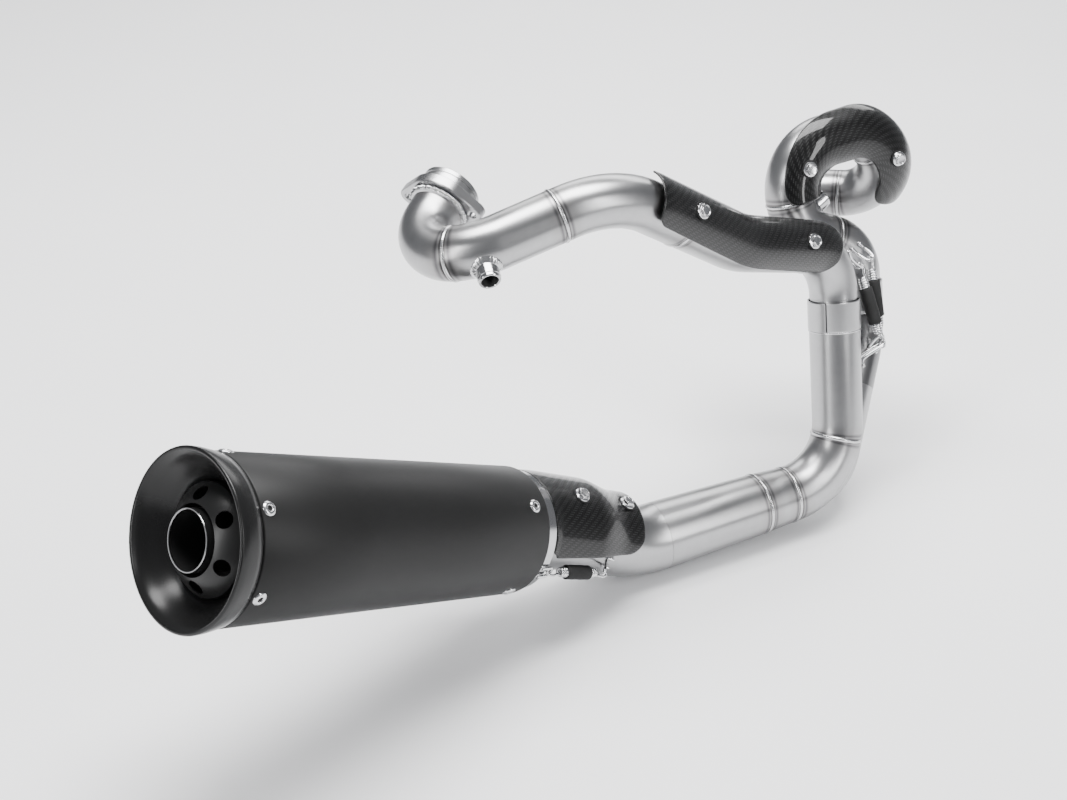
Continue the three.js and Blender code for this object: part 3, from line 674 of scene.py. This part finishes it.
def sensor_boss(name, route, s, facing, body, node, pipe):
    point, way, normal, side = route.station(s, facing)
    drilled(pipe, point, normal, BOSS_BORE, 10, 40)
    top = BOSS_SEAT + BOSS_H
    threads = []
    for i in range(9):
        z = BOSS_SEAT + 1 + i * 1.35
        threads += [(BOSS_BORE + 0.05, z), (BOSS_BORE + 0.6, z + 0.67)]
    sleeve = BOSS_BORE + 0.9
    lathe(name, point, normal, [
        (sleeve, BOSS_SEAT - 1.5), (BOSS_R, BOSS_SEAT - 1.5), (BOSS_R, top - 3.2),
        (BOSS_R - 0.5, top - 2.8), (BOSS_R - 0.5, top - 0.6), (BOSS_R - 1.0, top),
        (sleeve + 0.2, top), (sleeve, top - 0.3),
    ], POLISHED, body, [node], segments=64, sharp=28)
    # the threaded bore takes the dark washer coat instead of steel: painted shade inside the bore
    lathe(name + "_thread_painted_shade", point, normal, [
        (sleeve, BOSS_SEAT - 1.4), (sleeve, top - 0.4), (BOSS_BORE + 0.5, top - 0.5),
        (BOSS_BORE, top - 1.2),
    ] + list(reversed(threads)), WASHER_COAT_AND_HOLE_SHADE, body, segments=64, sharp=28)
    # the fillet weld follows the saddle where the boss meets the tube
    patch = Patch()
    rows = []
    count = 110
    ripples = [random.uniform(0.7, 1.3) for _ in range(count)]
    for across, lift in ((0.0, 2.4), (0.9, 2.2), (1.9, 1.6), (2.9, 0.9), (3.6, 0.25), (4.0, -0.6)):
        ring, uvs = [], []
        for j in range(count):
            angle = 2 * math.pi * j / count
            lump = 1 + 0.25 * math.sin(angle * 26) * ripples[j]
            r = BOSS_R - 0.3 + across * (0.85 + 0.15 * lump)
            x, y = r * math.cos(angle), r * math.sin(angle)
            sag = math.sqrt(max(HEADER_R ** 2 - y * y, 1)) if abs(y) < HEADER_R else 0
            ring.append(point + way * x + side * y + normal * (sag + lift * (0.8 + 0.2 * lump)))
            uvs.append((angle * r * MM, across * MM))
        rows.append(patch.row(ring, uvs))
    patch.skin(rows, count)
    patch.build(name + "_weld", BEAD, body, sharp=80)


def slip_end(name, route, start, body, drop_node, slip_node):
    """The last pipe of a header and its narrower male end."""
    cut = route.length - SLIP_LENGTH
    tube(f"{name}_drop", route, start + HALF, cut, HEADER_R, body, [drop_node], welded=(True, False))
    tube(f"{name}_slip", route, cut + SEAM_GAP, route.length, SLIP_R, body, [slip_node],
         welded=(False, False))
    weld_at(f"{name}_weld_port", route, 2.2, HEADER_R + 0.9, body, width=3.4, rise=2.2, lumps=0.45)


body = "rear_header"
marks = REAR.marks
ELBOW_END = marks[2]
SENSOR_END = ELBOW_END + 90
CREST_END = SENSOR_END + 130
DROP_START = marks[9]
port_flange("rear_flange_plate", Vector((0, 0, 0)), REAR_AXIS, 2.1, body, "rear_port_flange")
tube("rear_elbow", REAR, 0, ELBOW_END - HALF, HEADER_R, body, ["rear_port_elbow"])
pipe = tube("rear_first_bend", REAR, ELBOW_END + HALF, SENSOR_END - HALF, HEADER_R, body,
            ["rear_sensor_bend"])
sensor_boss("rear_boss", REAR, ELBOW_END + 23, Vector((-0.22, -0.89, -0.4)), body,
            "rear_sensor_boss", pipe)
tube("rear_crest", REAR, SENSOR_END + HALF, CREST_END - HALF, HEADER_R, body, ["rear_crest_tube"])
tube("rear_run", REAR, CREST_END + HALF, DROP_START - HALF, HEADER_R, body, ["rear_run_tube"])
slip_end("rear", REAR, DROP_START, body, "rear_drop_elbow", "rear_slip_end")
for i, s in enumerate((ELBOW_END, SENSOR_END, CREST_END, DROP_START)):
    weld_at(f"rear_weld_{i + 1}", REAR, s, HEADER_R, body)

body = "front_header"
marks = FRONT.marks
LOOP_START, LOOP_END = marks[3] + 4, marks[6] + 6
port_flange("front_flange_plate", FRONT_FLANGE, FRONT_AXIS, 1.2, body, "front_port_flange")
tube("front_stub", FRONT, 0, marks[1] - HALF, HEADER_R, body, ["front_port_stub"])
tube("front_elbow", FRONT, marks[1] + HALF, LOOP_START - HALF, HEADER_R, body, ["front_port_elbow"])
tube("front_loop", FRONT, LOOP_START + HALF, LOOP_END - HALF, HEADER_R, body, ["front_loop_tube"])
pipe = tube("front_second_bend", FRONT, LOOP_END + HALF, marks[9] - HALF, HEADER_R, body,
            ["front_sensor_bend"])
sensor_boss("front_boss", FRONT, marks[7] + 24, Vector((0.55, 0.2, 0.8)), body,
            "front_sensor_boss", pipe)
slip_end("front", FRONT, marks[9], body, "front_drop_tube", "front_slip_end")
for i, (s, more) in enumerate((
        (marks[1], DRESSED), (LOOP_START, {}), (LOOP_END, {}), (marks[9], DRESSED))):
    weld_at(f"front_weld_{i + 1}", FRONT, s, HEADER_R, body, **more)

body = "collector"
COLLAR_TOP, COLLAR_L = 13, 29
COLLAR_FOOT = COLLAR_L - COLLAR_TOP + SEAM_GAP


def slip_collar(name, origin, node):
    """Rolled lip, plain band, expanded shoulder and one slit with square sides."""
    low = COLLAR_TOP - COLLAR_L
    outline = [
        (COLLAR_BORE, low + 0.3), (LOWER_R + 0.1, low), (LOWER_R + 0.5, low + 1.6),
        (COLLAR_R, low + 3.0), (COLLAR_R - 0.1, COLLAR_TOP - 1.4), (COLLAR_R, COLLAR_TOP - 0.9),
        (COLLAR_R - 0.3, COLLAR_TOP), (COLLAR_BORE + 0.4, COLLAR_TOP),
        (COLLAR_BORE, COLLAR_TOP - 0.6),
    ]
    turn = Z_AXIS.rotation_difference(UP)
    start, gap, count = -2.5, 0.6 / COLLAR_R, 120
    patch = Patch()
    columns = []
    for j in range(count + 1):
        angle = start + gap + (2 * math.pi - 2 * gap) * j / count
        x, y = math.cos(angle), math.sin(angle)
        column = [origin + turn @ Vector((r * x, r * y, z)) for r, z in outline]
        uvs = [(z * MM, angle * COLLAR_R * MM) for _, z in outline]
        columns.append(patch.row(column, uvs))
    patch.skin(columns, len(outline))
    for column in (columns[0], columns[-1]):
        patch.faces.append(tuple(range(column, column + len(outline))))
    patch.build(name, STEEL, body, [node], 20)
    weld_ring(name + "_weld", origin + UP * (low + 0.4), UP, LOWER_R, body, width=1.1, rise=0.6)


slip_collar("rear_collar", REAR_SLIP, "rear_slip_collar")
slip_collar("front_collar", FRONT_SLIP, "front_slip_collar")
DOWN_END = LOWER.marks[1] + 17
BRANCH_START = MERGE.marks[2] + 30
tube("rear_down", LOWER, COLLAR_FOOT, DOWN_END - HALF, LOWER_R, body, ["rear_down_tube"],
     welded=(False, True))
# the elbow and the branch that runs into it are one piece
elbow = tube("", LOWER, DOWN_END + HALF, LOWER.length, LOWER_R, body, end_radius=COLLECTOR_R,
             build=False)
tube("", MERGE, BRANCH_START, MERGE.length - 26, LOWER_R, body, welded=(False, False), build=False,
     patch=elbow)
elbow.build("collector_elbow_skin", STEEL, body, ["collector_elbow"])
tube("front_down", MERGE, COLLAR_FOOT, BRANCH_START + 0.2, LOWER_R, body, ["front_down_tube"],
     STEEL_DARK, welded=(False, False))
weld_at("collector_weld_1", LOWER, DOWN_END, LOWER_R, body, width=2.0, rise=0.9)


def cone(name, x_start, x_end, start_r, end_r, node, welded=(True, True)):
    """A straight taper on the link pipe's line: every ring is grown to its own radius."""
    head, bend = Vector((352, -116, -323)), Vector((126, -111, -326))
    axis = (bend - head).normalized()
    s_start, s_end = (x_start - head.x) / axis.x, (x_end - head.x) / axis.x
    patch = tube("", LINK, s_start, s_end, start_r, body, build=False, welded=welded)
    sides = TUBE_SIDES
    count = len(patch.points) // (2 * sides)
    for k in range(2):
        for i in range(count):
            centre = LINK.at(s_start + (s_end - s_start) * i / (count - 1))[0]
            radius = start_r + (end_r - start_r) * i / (count - 1)
            grow = (radius - k * WALL) / (start_r - k * WALL)
            first_point = (k * count + i) * sides
            for j in range(first_point, first_point + sides):
                patch.points[j] = centre + (patch.points[j] - centre) * grow
    patch.build(name, STEEL, body, [node])
    return s_start, s_end


SLEEVE_END, BEND_START = 259, 151
first, second = cone("collector_sleeve_skin", 291.6, SLEEVE_END + HALF, COLLECTOR_R, 28.4,
                     "collector_sleeve")
weld_at("collector_weld_2", LINK, first, COLLECTOR_R, body)
weld_at("collector_weld_3", LINK, second, 28.5, body)
cone("mid_pipe_skin", SLEEVE_END - HALF, BEND_START, 28.6, LINK_R, "mid_pipe", (True, False))
LINK_START = 352 - BEND_START + SEAM_GAP
tube("link_skin", LINK, LINK_START, LINK.length, LINK_R, body, ["link_pipe"], welded=(False, False))


# ------------------------ muffler
SEAM = 308
FRONT_R, REAR_R, RIM_R = 54.5, 65.0, 68.3
RING_R, RING_L = 51.5, 12
RIVET_LEAN = 0.034


def sleeve_r(z):
    return FRONT_R + (REAR_R - FRONT_R) * z / SEAM


def on_muffler(name, profile, look, nodes=(), body_name="muffler", **more):
    return lathe(name, MUFFLER_FRONT, MUFFLER_AXIS, profile, look, body_name, nodes, **more)


def arc_profile(points, count=10):
    """Rounds a profile through its points."""
    path = smooth_path([Vector((r, z, 0)) for r, z in points], count)
    return [(p.x, p.y) for p in path]


on_muffler("muffler_shell", [
    (sleeve_r(0) - 1.5, 0.4), (sleeve_r(0) - 0.9, 0), (sleeve_r(0) - 0.2, 0.2), (sleeve_r(0), 0.9),
    (sleeve_r(100), 100), (sleeve_r(200), 200), (sleeve_r(SEAM - 1.1), SEAM - 1.1),
    (sleeve_r(SEAM) - 0.5, SEAM - 0.5), (sleeve_r(SEAM) - 1.2, SEAM), (sleeve_r(SEAM) - 1.5, SEAM),
], BLACK, ["muffler_sleeve"], segments=160, sharp=50)
bell = arc_profile([(65.2, 329.6), (61.6, 326.2), (57.4, 320.6), (52.6, 314.8), (48.6, 309.8),
                    (45.4, 306.2), (43.3, 302.6)], 8)
on_muffler("muffler_bell", [
    (60.8, 286), (62.9, SEAM - 0.3), (63.2, SEAM + 0.4), (REAR_R - 1.0, SEAM + 0.5),
    (REAR_R, SEAM + 1.2), (66.4, 315), (67.7, 322), (RIM_R, 328.6), (RIM_R - 0.3, 329.6),
    (67.4, 330), (66.0, 330),
] + bell + [(43.3, 284), (44.9, 284), (44.9, 302), (60, 317.0), (61.4, 308)],
    BELL, ["muffler_end_cap"], segments=160, sharp=50)
on_muffler("inlet_polished_ring", [
    (32.5, -8.6), (33.0, -9), (35.0, -9), (35.6, -8.4), (35.6, 40), (32.5, 40),
], POLISHED, ["muffler_inlet_ring"], segments=96)
on_muffler("front_cap_ring", [
    (36.0, -4), (39.0, -4.3), (44.0, -6.4), (48.5, -9.8), (50.3, -RING_L + 0.1), (51.0, -RING_L),
    (RING_R, 0.7 - RING_L), (RING_R, 1), (52.5, 1), (52.8, 14), (51.4, 14), (49.5, 3), (49.5, -8),
    (36.0, -2),
], POLISHED, ["muffler_front_cap"], segments=160)

# the removable baffle
BAFFLE_R, BAFFLE_TUBE_R, DOME_BASE, DOME_CENTRE = 42.6, 23.6, 309, 275.7
PORTS, PORT_R, PORT_TURN, PORT_LEAN = 6, 6.6, 0.61, 0.6
DOME_R = math.hypot(BAFFLE_R, DOME_BASE - DOME_CENTRE)
DOME_HOLE = 27


def dome_outline():
    outline = [(BAFFLE_R - WALL, 287), (BAFFLE_R, 287)]
    start, end = math.acos(BAFFLE_R / DOME_R), math.acos(DOME_HOLE / DOME_R)
    for radius, order in ((DOME_R, 1), (DOME_R - WALL, -1)):
        for i in range(13):
            share = i / 12 if order > 0 else 1 - i / 12
            angle = start + (end - start) * share
            outline.append((radius * math.cos(angle), DOME_CENTRE + radius * math.sin(angle)))
    return outline


dome = on_muffler("baffle_dome_skin", dome_outline(), INSERT, ["baffle_dome"], "baffle", segments=144)
TURN = Z_AXIS.rotation_difference(MUFFLER_AXIS)
for i in range(PORTS):
    spin = Quaternion(Z_AXIS, 2 * math.pi * i / PORTS + PORT_TURN)
    way = TURN @ (spin @ (Quaternion(Y_AXIS, PORT_LEAN) @ Z_AXIS))
    drilled(dome, MUFFLER_FRONT + TURN @ (spin @ Vector((17, 0, 292))), way, PORT_R, 8, 38)
on_muffler("baffle_tube_skin", [
    (BAFFLE_TUBE_R - WALL, 200), (BAFFLE_TUBE_R, 200), (BAFFLE_TUBE_R, 288), (41.0, 288),
    (41.0, 289.5),
    (BAFFLE_TUBE_R, 289.5), (BAFFLE_TUBE_R, 326.2), (BAFFLE_TUBE_R - 0.2, 326.8),
    (BAFFLE_TUBE_R - 0.6, 327), (BAFFLE_TUBE_R - WALL, 326.8),
], INSERT, ["baffle_tube"], "baffle", segments=96)
on_muffler("baffle_bright_rim", [
    (BAFFLE_TUBE_R - WALL - 0.1, 325.6), (BAFFLE_TUBE_R + 0.1, 325.6), (BAFFLE_TUBE_R + 0.12, 326.5),
    (BAFFLE_TUBE_R - 0.2, 327.0), (BAFFLE_TUBE_R - 0.9, 327.0), (BAFFLE_TUBE_R - WALL - 0.1, 326.6),
], POLISHED, (), "baffle", segments=96)


def radial_place(angle, z, radius):
    outward = TURN @ Vector((math.cos(angle), math.sin(angle), 0))
    return MUFFLER_FRONT + MUFFLER_AXIS * z + outward * radius, outward


def rivet(name, angle, z):
    """A pressed rivet: a wide dished collar round its socket, filled with a flat dark disc as painted
    shade.
    """
    point, outward = radial_place(angle, z, sleeve_r(z))
    axis = (outward - MUFFLER_AXIS * RIVET_LEAN).normalized()
    lathe(name, point, axis, [
        (2.1, -0.3), (2.1, 0.9), (2.4, 1.35), (3.0, 1.6), (3.8, 1.55), (4.7, 1.2), (5.4, 0.7),
        (5.8, 0.2), (5.8, -0.3),
    ], ZINC, "muffler", segments=48, sharp=40)
    # a flat dark disc in the socket: painted shade in the rivet's hole
    lathe(name + "_painted_socket_shade", point, axis, [
        (0.01, 0.1), (1.0, 0.05), (2.1, 0.3), (2.1, -0.2), (0.01, -0.2),
    ], WASHER_COAT_AND_HOLE_SHADE, "muffler", segments=24, sharp=40)


for i in range(6):
    rivet(f"rear_rivet_{i + 1}", math.pi / 6 + i * math.pi / 3, 300.5)
for i in range(4):
    rivet(f"front_rivet_{i + 1}", -0.5 + i * math.pi / 2, 14.5)


# ------------------------ heat shields
def half_width(distance, full, rounding):
    if distance >= rounding:
        return full
    return full - rounding + math.sqrt(max(rounding ** 2 - (rounding - distance) ** 2, 0))


def shield(name, route, spec, bolts, body, node):
    """A lacquered shell over the tube with rounded corners; widths are measured round the tube."""
    start, end, r0 = spec["from"], spec["to"], spec["radius"]
    length = end - start
    corner_r = spec["corner"]
    cuts = [0.5 - 0.5 * math.cos(math.pi * i / 16) for i in range(9)]
    places = [c * 2 * corner_r[0] for c in cuts]
    plain = length - corner_r[0] - corner_r[1]
    inner = max(4, int(plain / 2.5))
    places += [corner_r[0] + plain * i / inner for i in range(1, inner + 1)]
    places += [length - c * 2 * corner_r[1] for c in reversed(cuts[:-1])]
    across = 44
    patch = Patch()
    for skin in (SHIELD_T, 0.0):
        rows = []
        for d in places:
            t = d / length
            facing = spec["facing"].lerp(spec.get("end_facing", spec["facing"]), t)
            point, _, normal, side = route.station(start + d, facing)
            low = spec["low"] + (spec.get("end_low", spec["low"]) - spec["low"]) * t
            high = spec["high"] + (spec.get("end_high", spec["high"]) - spec["high"]) * t
            rise = min(max((t - 0.14) / 0.34, 0), 1)
            r_mid = r0 + spec.get("swell", 0) * rise * rise * (3 - 2 * rise)
            middle, half = (low + high) / 2, (high - low) / 2 * r_mid
            near = min(half_width(d, half, corner_r[0]), half_width(length - d, half, corner_r[1]))
            ring, uvs = [], []
            for j in range(across + 1):
                w = -1 + 2 * j / across
                w = math.copysign(1 - (1 - abs(w)) ** 1.25, w)
                angle = middle + near * w / r_mid
                edge = min(near * (1 - abs(w)), d, length - d)
                soften = 0.55 * max(0.0, 1 - edge / 1.0) ** 2
                r = r_mid + skin - (soften if skin else -soften)
                ring.append(point + (normal * math.cos(angle) + side * math.sin(angle)) * r)
                uvs.append(((start + d) * MM, angle * r_mid * MM))
            rows.append(patch.row(ring, uvs))
        patch.skin(rows, across + 1, False)
        if skin:
            outer = rows
    for a, b in zip(outer, outer[1:]):
        for j in (0, across):
            other = rows[outer.index(a)] + j, rows[outer.index(b)] + j
            patch.faces.append((a + j, b + j, other[1], other[0]))
    for a, b in ((outer[0], rows[0]), (outer[-1], rows[-1])):
        patch.strip(a, b, across + 1, False)
    patch.build(name, CARBON, body, [node], 60)
    for i, bolt in enumerate(bolts):
        shield_bolt(f"{name}_bolt_{i + 1}", route, bolt, body, f"{node}_bolt_{i + 1}",
                    f"{node}_post_{i + 1}")


def shield_bolt(name, route, bolt, body, bolt_node, post_node):
    tube_r = bolt.get("tube_r", HEADER_R)
    point, _, normal, _ = route.station(bolt["s"], bolt["facing"])
    skin = tube_r + bolt.get("standoff", STANDOFF)
    face = skin + SHIELD_T
    lathe(name + "_washer", point, normal, [
        (3.2, face - 0.3), (8.3, face - 0.3), (8.5, face), (8.4, face + 0.5), (7.9, face + 0.6),
        (3.2, face + 0.6),
    ], WASHER_COAT_AND_HOLE_SHADE, body, segments=64)
    edit = bmesh.new()
    turn = Z_AXIS.rotation_difference(normal)
    spin = random.uniform(0, 1)

    def ring(radius, height, sides=48, hexed=0.0):
        loop = []
        for j in range(sides):
            angle = 2 * math.pi * j / sides
            local = (angle + spin) % (math.pi / 3) - math.pi / 6
            flat = 1 / math.cos(local) * 0.895
            r = radius * ((1 - hexed) + hexed * flat)
            spot = Vector((math.cos(angle), math.sin(angle), 0)) * r + Vector((0, 0, height))
            loop.append(edit.verts.new((point + turn @ spot) * MM))
        return loop
    base = face + 0.6
    rings = [ring(6.9, base), ring(7.1, base + 0.35), ring(6.9, base + 0.9), ring(6.0, base + 1.4),
             ring(5.6, base + 1.6, hexed=1.0), ring(5.6, base + 3.7, hexed=1.0),
             ring(5.2, base + 4.3, hexed=0.6), ring(4.1, base + 4.5), ring(3.7, base + 4.0),
             ring(2.0, base + 3.8), ring(0.05, base + 3.8)]
    for a, b in zip(rings, rings[1:]):
        for j in range(len(a)):
            k = (j + 1) % len(a)
            edit.faces.new((a[j], a[k], b[k], b[j]))
    finish_object(name, mesh_of(edit, name), ZINC, body, [bolt_node], 28)
    lathe(name + "_stud", point, normal, [
        (0.01, tube_r + 1.0), (3, tube_r + 1.0), (3, base), (0.01, base),
    ], ZINC, body, segments=32, loop=False)
    lathe(name + "_spacer", point, normal, [
        (3.6, tube_r - 1), (7.6, tube_r - 0.4), (6.6, tube_r + 0.9), (6, tube_r + 1.6),
        (6, skin - 0.2), (3.6, skin - 0.2),
    ], ZINC, body, [post_node], segments=48)


marks = REAR.marks
shield("rear_shield", REAR, {
    "from": CREST_END - 50, "to": marks[9] + 22, "radius": HEADER_R + STANDOFF,
    "facing": Vector((-0.12, -0.56, 0.82)), "end_facing": Vector((0.5, -0.75, 0.4)),
    "low": -1.0, "end_low": -0.85, "high": 1.08, "corner": (10, 22),
}, [
    {"s": CREST_END - 5, "facing": Vector((0.42, -0.77, 0.48))},
    {"s": marks[9] - 20, "facing": Vector((0.34, -0.8, 0.5))},
], "rear_header", "rear_heat_shield")
marks = FRONT.marks
shield("front_shield", FRONT, {
    "from": marks[2] - 42, "to": marks[7] + 4, "radius": HEADER_R + STANDOFF,
    "facing": Vector((0.22, -0.88, 0.42)),
    "low": -1.1, "end_low": -1.0, "high": 1.25, "end_high": 0.9, "corner": (20, 12),
}, [
    {"s": marks[2] - 4, "facing": Vector((0.05, -0.99, 0.14))},
    {"s": marks[6] - 27, "facing": Vector((-0.06, -0.95, 0.32))},
], "front_header", "front_heat_shield")
MID_SEAT, MID_SWELL = 11.5, 6.7
marks = LINK.marks
shield("mid_shield", LINK, {
    "from": marks[2] + 2, "to": marks[4] + 3.8, "radius": LINK_R + MID_SEAT, "swell": MID_SWELL,
    "facing": Vector((0, -0.45, 0.9)), "low": -0.8, "end_low": -1.05, "high": 1.25, "corner": (18, 4),
}, [
    {"s": marks[2] + 16, "facing": Vector((0.45, -0.23, 0.86)), "tube_r": LINK_R,
     "standoff": MID_SEAT},
    {"s": marks[3] - 26, "facing": Vector((0.44, -0.34, 0.83)), "tube_r": LINK_R,
     "standoff": MID_SEAT + MID_SWELL},
], "collector", "mid_heat_shield")


# ------------------------ springs, sleeves and hooks
LIFT = WIRE_R + 0.4


def blob(name, point, normal, along, body):
    """A lump of weld at a wire's foot."""
    edit = bmesh.new()
    bmesh.ops.create_icosphere(edit, subdivisions=3, radius=1.0)
    side = normal.cross(along).normalized()
    for vertex in edit.verts:
        c = vertex.co
        rough = 1 + 0.1 * math.sin(c.x * 9) * math.cos(c.y * 7)
        spread = along * (c.x * 3.0 * rough) + side * (c.y * 2.3 * rough)
        vertex.co = (point + spread + normal * (c.z * 1.4)) * MM
    finish_object(name, mesh_of(edit, name), BEAD, body, (), 80)


def wire_hook(name, bar, foot, heel, across, body, node, normal):
    """A bent wire loop: bar is where the spring pulls, and both heels are welded down."""
    points = [heel + across * 4.6, foot + across * 4.6, bar + across * 3.4,
              bar - across * 3.4, foot - across * 4.6, heel - across * 4.6]
    wire_patch(smooth_path(points, 12), WIRE_R, 14).build(name, WIRE, body, [node], 60)
    for k, sign in enumerate((1, -1)):
        way = (heel - foot).normalized()
        spot = heel + across * 4.6 * sign - normal * 0.9 - way * 1.5
        blob(f"{name}_weld_{k + 1}", spot, normal, way, body)


def hook_on_tube(name, bar, route, radius, reach, body, node):
    places = [(route.at(d)[0] - bar).length for d in range(int(route.length) + 1)]
    nearest = places.index(min(places))
    facing = bar - route.at(nearest)[0]

    def seat(s):
        point, _, normal, _ = route.station(s, facing)
        return point + normal * (radius + LIFT)
    _, way, normal, _ = route.station(nearest, facing)
    foot, heel = seat(nearest + reach), seat(nearest + reach * 1.7)
    wire_hook(name, bar, foot, heel, way.cross(normal), body, node, normal)


def spring(name, start, end, outward, bodies, spring_node, sleeve_node):
    run = (end - start).normalized()
    lift = (outward - run * outward.dot(run)).normalized()
    side = run.cross(lift)
    span = (end - start).length
    gap = 10.5

    def eye(origin, way):
        def at(a, n):
            return origin + way * a + lift * n
        return [at(-2.4, -2.3), at(-HOOK_R, 0), at(-2.4, 2.3), at(0, HOOK_R), at(4, HOOK_R),
                at(gap - 4, 2.4)]
    first = smooth_path([start + lift * -HOOK_R] + eye(start, run), 8)
    last = smooth_path([end + lift * -HOOK_R] + eye(end, -run), 8)
    turns = round((span - 2 * gap) / 2.35)
    helix = []
    count = turns * 18
    for i in range(count + 1):
        t = i / count
        angle = 2 * math.pi * turns * t
        necking = max(0, 1 - t * turns / 1.5) + max(0, 1 - (1 - t) * turns / 1.5)
        squeeze = COIL_R - SPRING_WIRE_R - 0.9 * necking
        spot = start + run * (gap + (span - 2 * gap) * t)
        helix.append(spot + (lift * math.cos(angle) + side * math.sin(angle)) * squeeze)
    path = first + helix + list(reversed(last))
    coil = wire_patch(path, SPRING_WIRE_R, 10).build(name, WIRE, None, (), 60)
    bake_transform(coil)
    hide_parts(spring_node)
    margin = 21 if span > 70 else 18
    grow = [(COIL_R + 0.2, margin), (RUBBER_R - 0.5, margin), (RUBBER_R - 0.1, margin + 0.6)]
    for i in range(1, 8):
        z = margin + 0.6 + (span - 2 * margin - 1.2) * i / 8
        grow.append((RUBBER_R - 0.08 - 0.1 * math.sin(i * 2.1), z))
    grow += [(RUBBER_R - 0.1, span - margin - 0.6), (RUBBER_R - 0.5, span - margin),
             (COIL_R + 0.2, span - margin)]
    lathe(name + "_rubber", start, run, grow, RUBBER, bodies[0], [sleeve_node], segments=48, sharp=60)


REAR_SPRING = (Vector((399, -54, -136)), Vector((407, -89, -204)))
spring("rear_spring", *REAR_SPRING, Vector((0.9, -0.4, 0)), ("rear_header", "collector"),
       "rear_joint_spring", "rear_joint_sleeve")
hook_on_tube("rear_upper_hook", REAR_SPRING[0], REAR, HEADER_R, -9, "rear_header",
             "rear_header_hook")
hook_on_tube("rear_lower_hook", REAR_SPRING[1], LOWER, LOWER_R, 11, "collector",
             "rear_collector_hook")
FRONT_SPRING = (Vector((415, -49, -133)), Vector((416, -76, -205)))
spring("front_spring", *FRONT_SPRING, Vector((-0.1, -1, 0)), ("front_header", "collector"),
       "front_joint_spring", "front_joint_sleeve")
hook_on_tube("front_upper_hook", FRONT_SPRING[0], FRONT, HEADER_R, -9, "front_header",
             "front_header_hook")
hook_on_tube("front_lower_hook", FRONT_SPRING[1], MERGE, LOWER_R, 11, "collector",
             "front_collector_hook")
MUFFLER_SPRING = (Vector((9.5, -168.6, -277.3)), Vector((66, -161, -304)))
spring("muffler_spring", *MUFFLER_SPRING, Vector((-0.3, -0.8, -0.5)), ("muffler", "collector"),
       "muffler_joint_spring", "muffler_joint_sleeve")
radial = MUFFLER_SPRING[0] - MUFFLER_FRONT
radial = (radial - MUFFLER_AXIS * radial.dot(MUFFLER_AXIS)).normalized()
ring_seat = MUFFLER_FRONT + radial * (RING_R + LIFT)
wire_hook("muffler_front_hook", MUFFLER_SPRING[0], ring_seat - MUFFLER_AXIS * 9,
          ring_seat - MUFFLER_AXIS * 2, radial.cross(MUFFLER_AXIS), "muffler", "muffler_hook", radial)
hook_on_tube("link_hook", MUFFLER_SPRING[1], LINK, LINK_R, -11, "collector", "link_pipe_hook")

# ------------------------ carried-over CAD nodes
for node, look in {"perforated_core": STEEL, "sound_packing": WOOL, "baffle_nut": ZINC}.items():
    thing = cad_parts[node]
    thing.data.materials.clear()
    thing.data.materials.append(look)

# ------------------------ floor, light and camera
FLOOR_Z = -358


def floor_look():
    m, tree, shader = material("pale_floor")
    place = object_place(tree)
    cloud = noise(tree, 3.0, 3.0, place)
    paint(tree, shader, cloud, (0.3, 0.90), (0.7, 0.92))
    fix(shader, {"Roughness": 0.7})
    return m


def make_floor():
    mesh = bpy.data.meshes.new("floor")
    size = 9.0
    spots = [(-size, -size), (size, -size), (size, size), (-size, size)]
    mesh.from_pydata([(x, y, FLOOR_Z * MM) for x, y in spots], [], [(0, 1, 2, 3)])
    mesh.materials.append(floor_look())
    floor = bpy.data.objects.new("floor", mesh)
    bpy.context.scene.collection.objects.link(floor)


make_floor()
TARGET = Vector((0.09, -0.05, -0.16))
VIEW = Vector((0.3941, 0.7509, -0.5299))
RIGHT = Vector((0.8855, -0.4647, 0))


def area_light(name, place, size, power):
    data = bpy.data.lights.new(name, "AREA")
    data.shape = "RECTANGLE"
    data.size, data.size_y = size
    data.energy = power
    light = bpy.data.objects.new(name, data)
    light.location = place
    light.rotation_euler = (TARGET - place).to_track_quat("-Z", "Y").to_euler()
    bpy.context.scene.collection.objects.link(light)


flat = Vector((VIEW.x, VIEW.y, 0)).normalized()
area_light("overhead", TARGET + flat * 0.3 + Vector((0, 0, 2.2)), (2.0, 1.1), 150)
area_light("front_left", TARGET - flat * 1.7 - RIGHT * 1.5 + Vector((0, 0, 0.9)), (0.40, 1.8), 34)
area_light("front_right", TARGET - flat * 1.3 + RIGHT * 1.7 + Vector((0, 0, 1.0)), (0.30, 1.6), 26)
area_light("rear_fill", TARGET + flat * 2.2 + RIGHT * 0.4 + Vector((0, 0, 1.3)), (2.4, 1.0), 40)

world = bpy.data.worlds.new("studio")
world.use_nodes = True
back = world.node_tree.nodes["Background"]
back.inputs["Color"].default_value = (0.93, 0.95, 1.0, 1)
back.inputs["Strength"].default_value = 0.30
bpy.context.scene.world = world

camera_data = bpy.data.cameras.new("camera")
camera_data.sensor_width = 36
camera_data.lens = 59.04
camera = bpy.data.objects.new("camera", camera_data)
camera.location = (-0.5482, -1.2019, 0.6270)
camera.rotation_euler = VIEW.to_track_quat("-Z", "Y").to_euler()
bpy.context.scene.collection.objects.link(camera)
bpy.context.scene.camera = camera
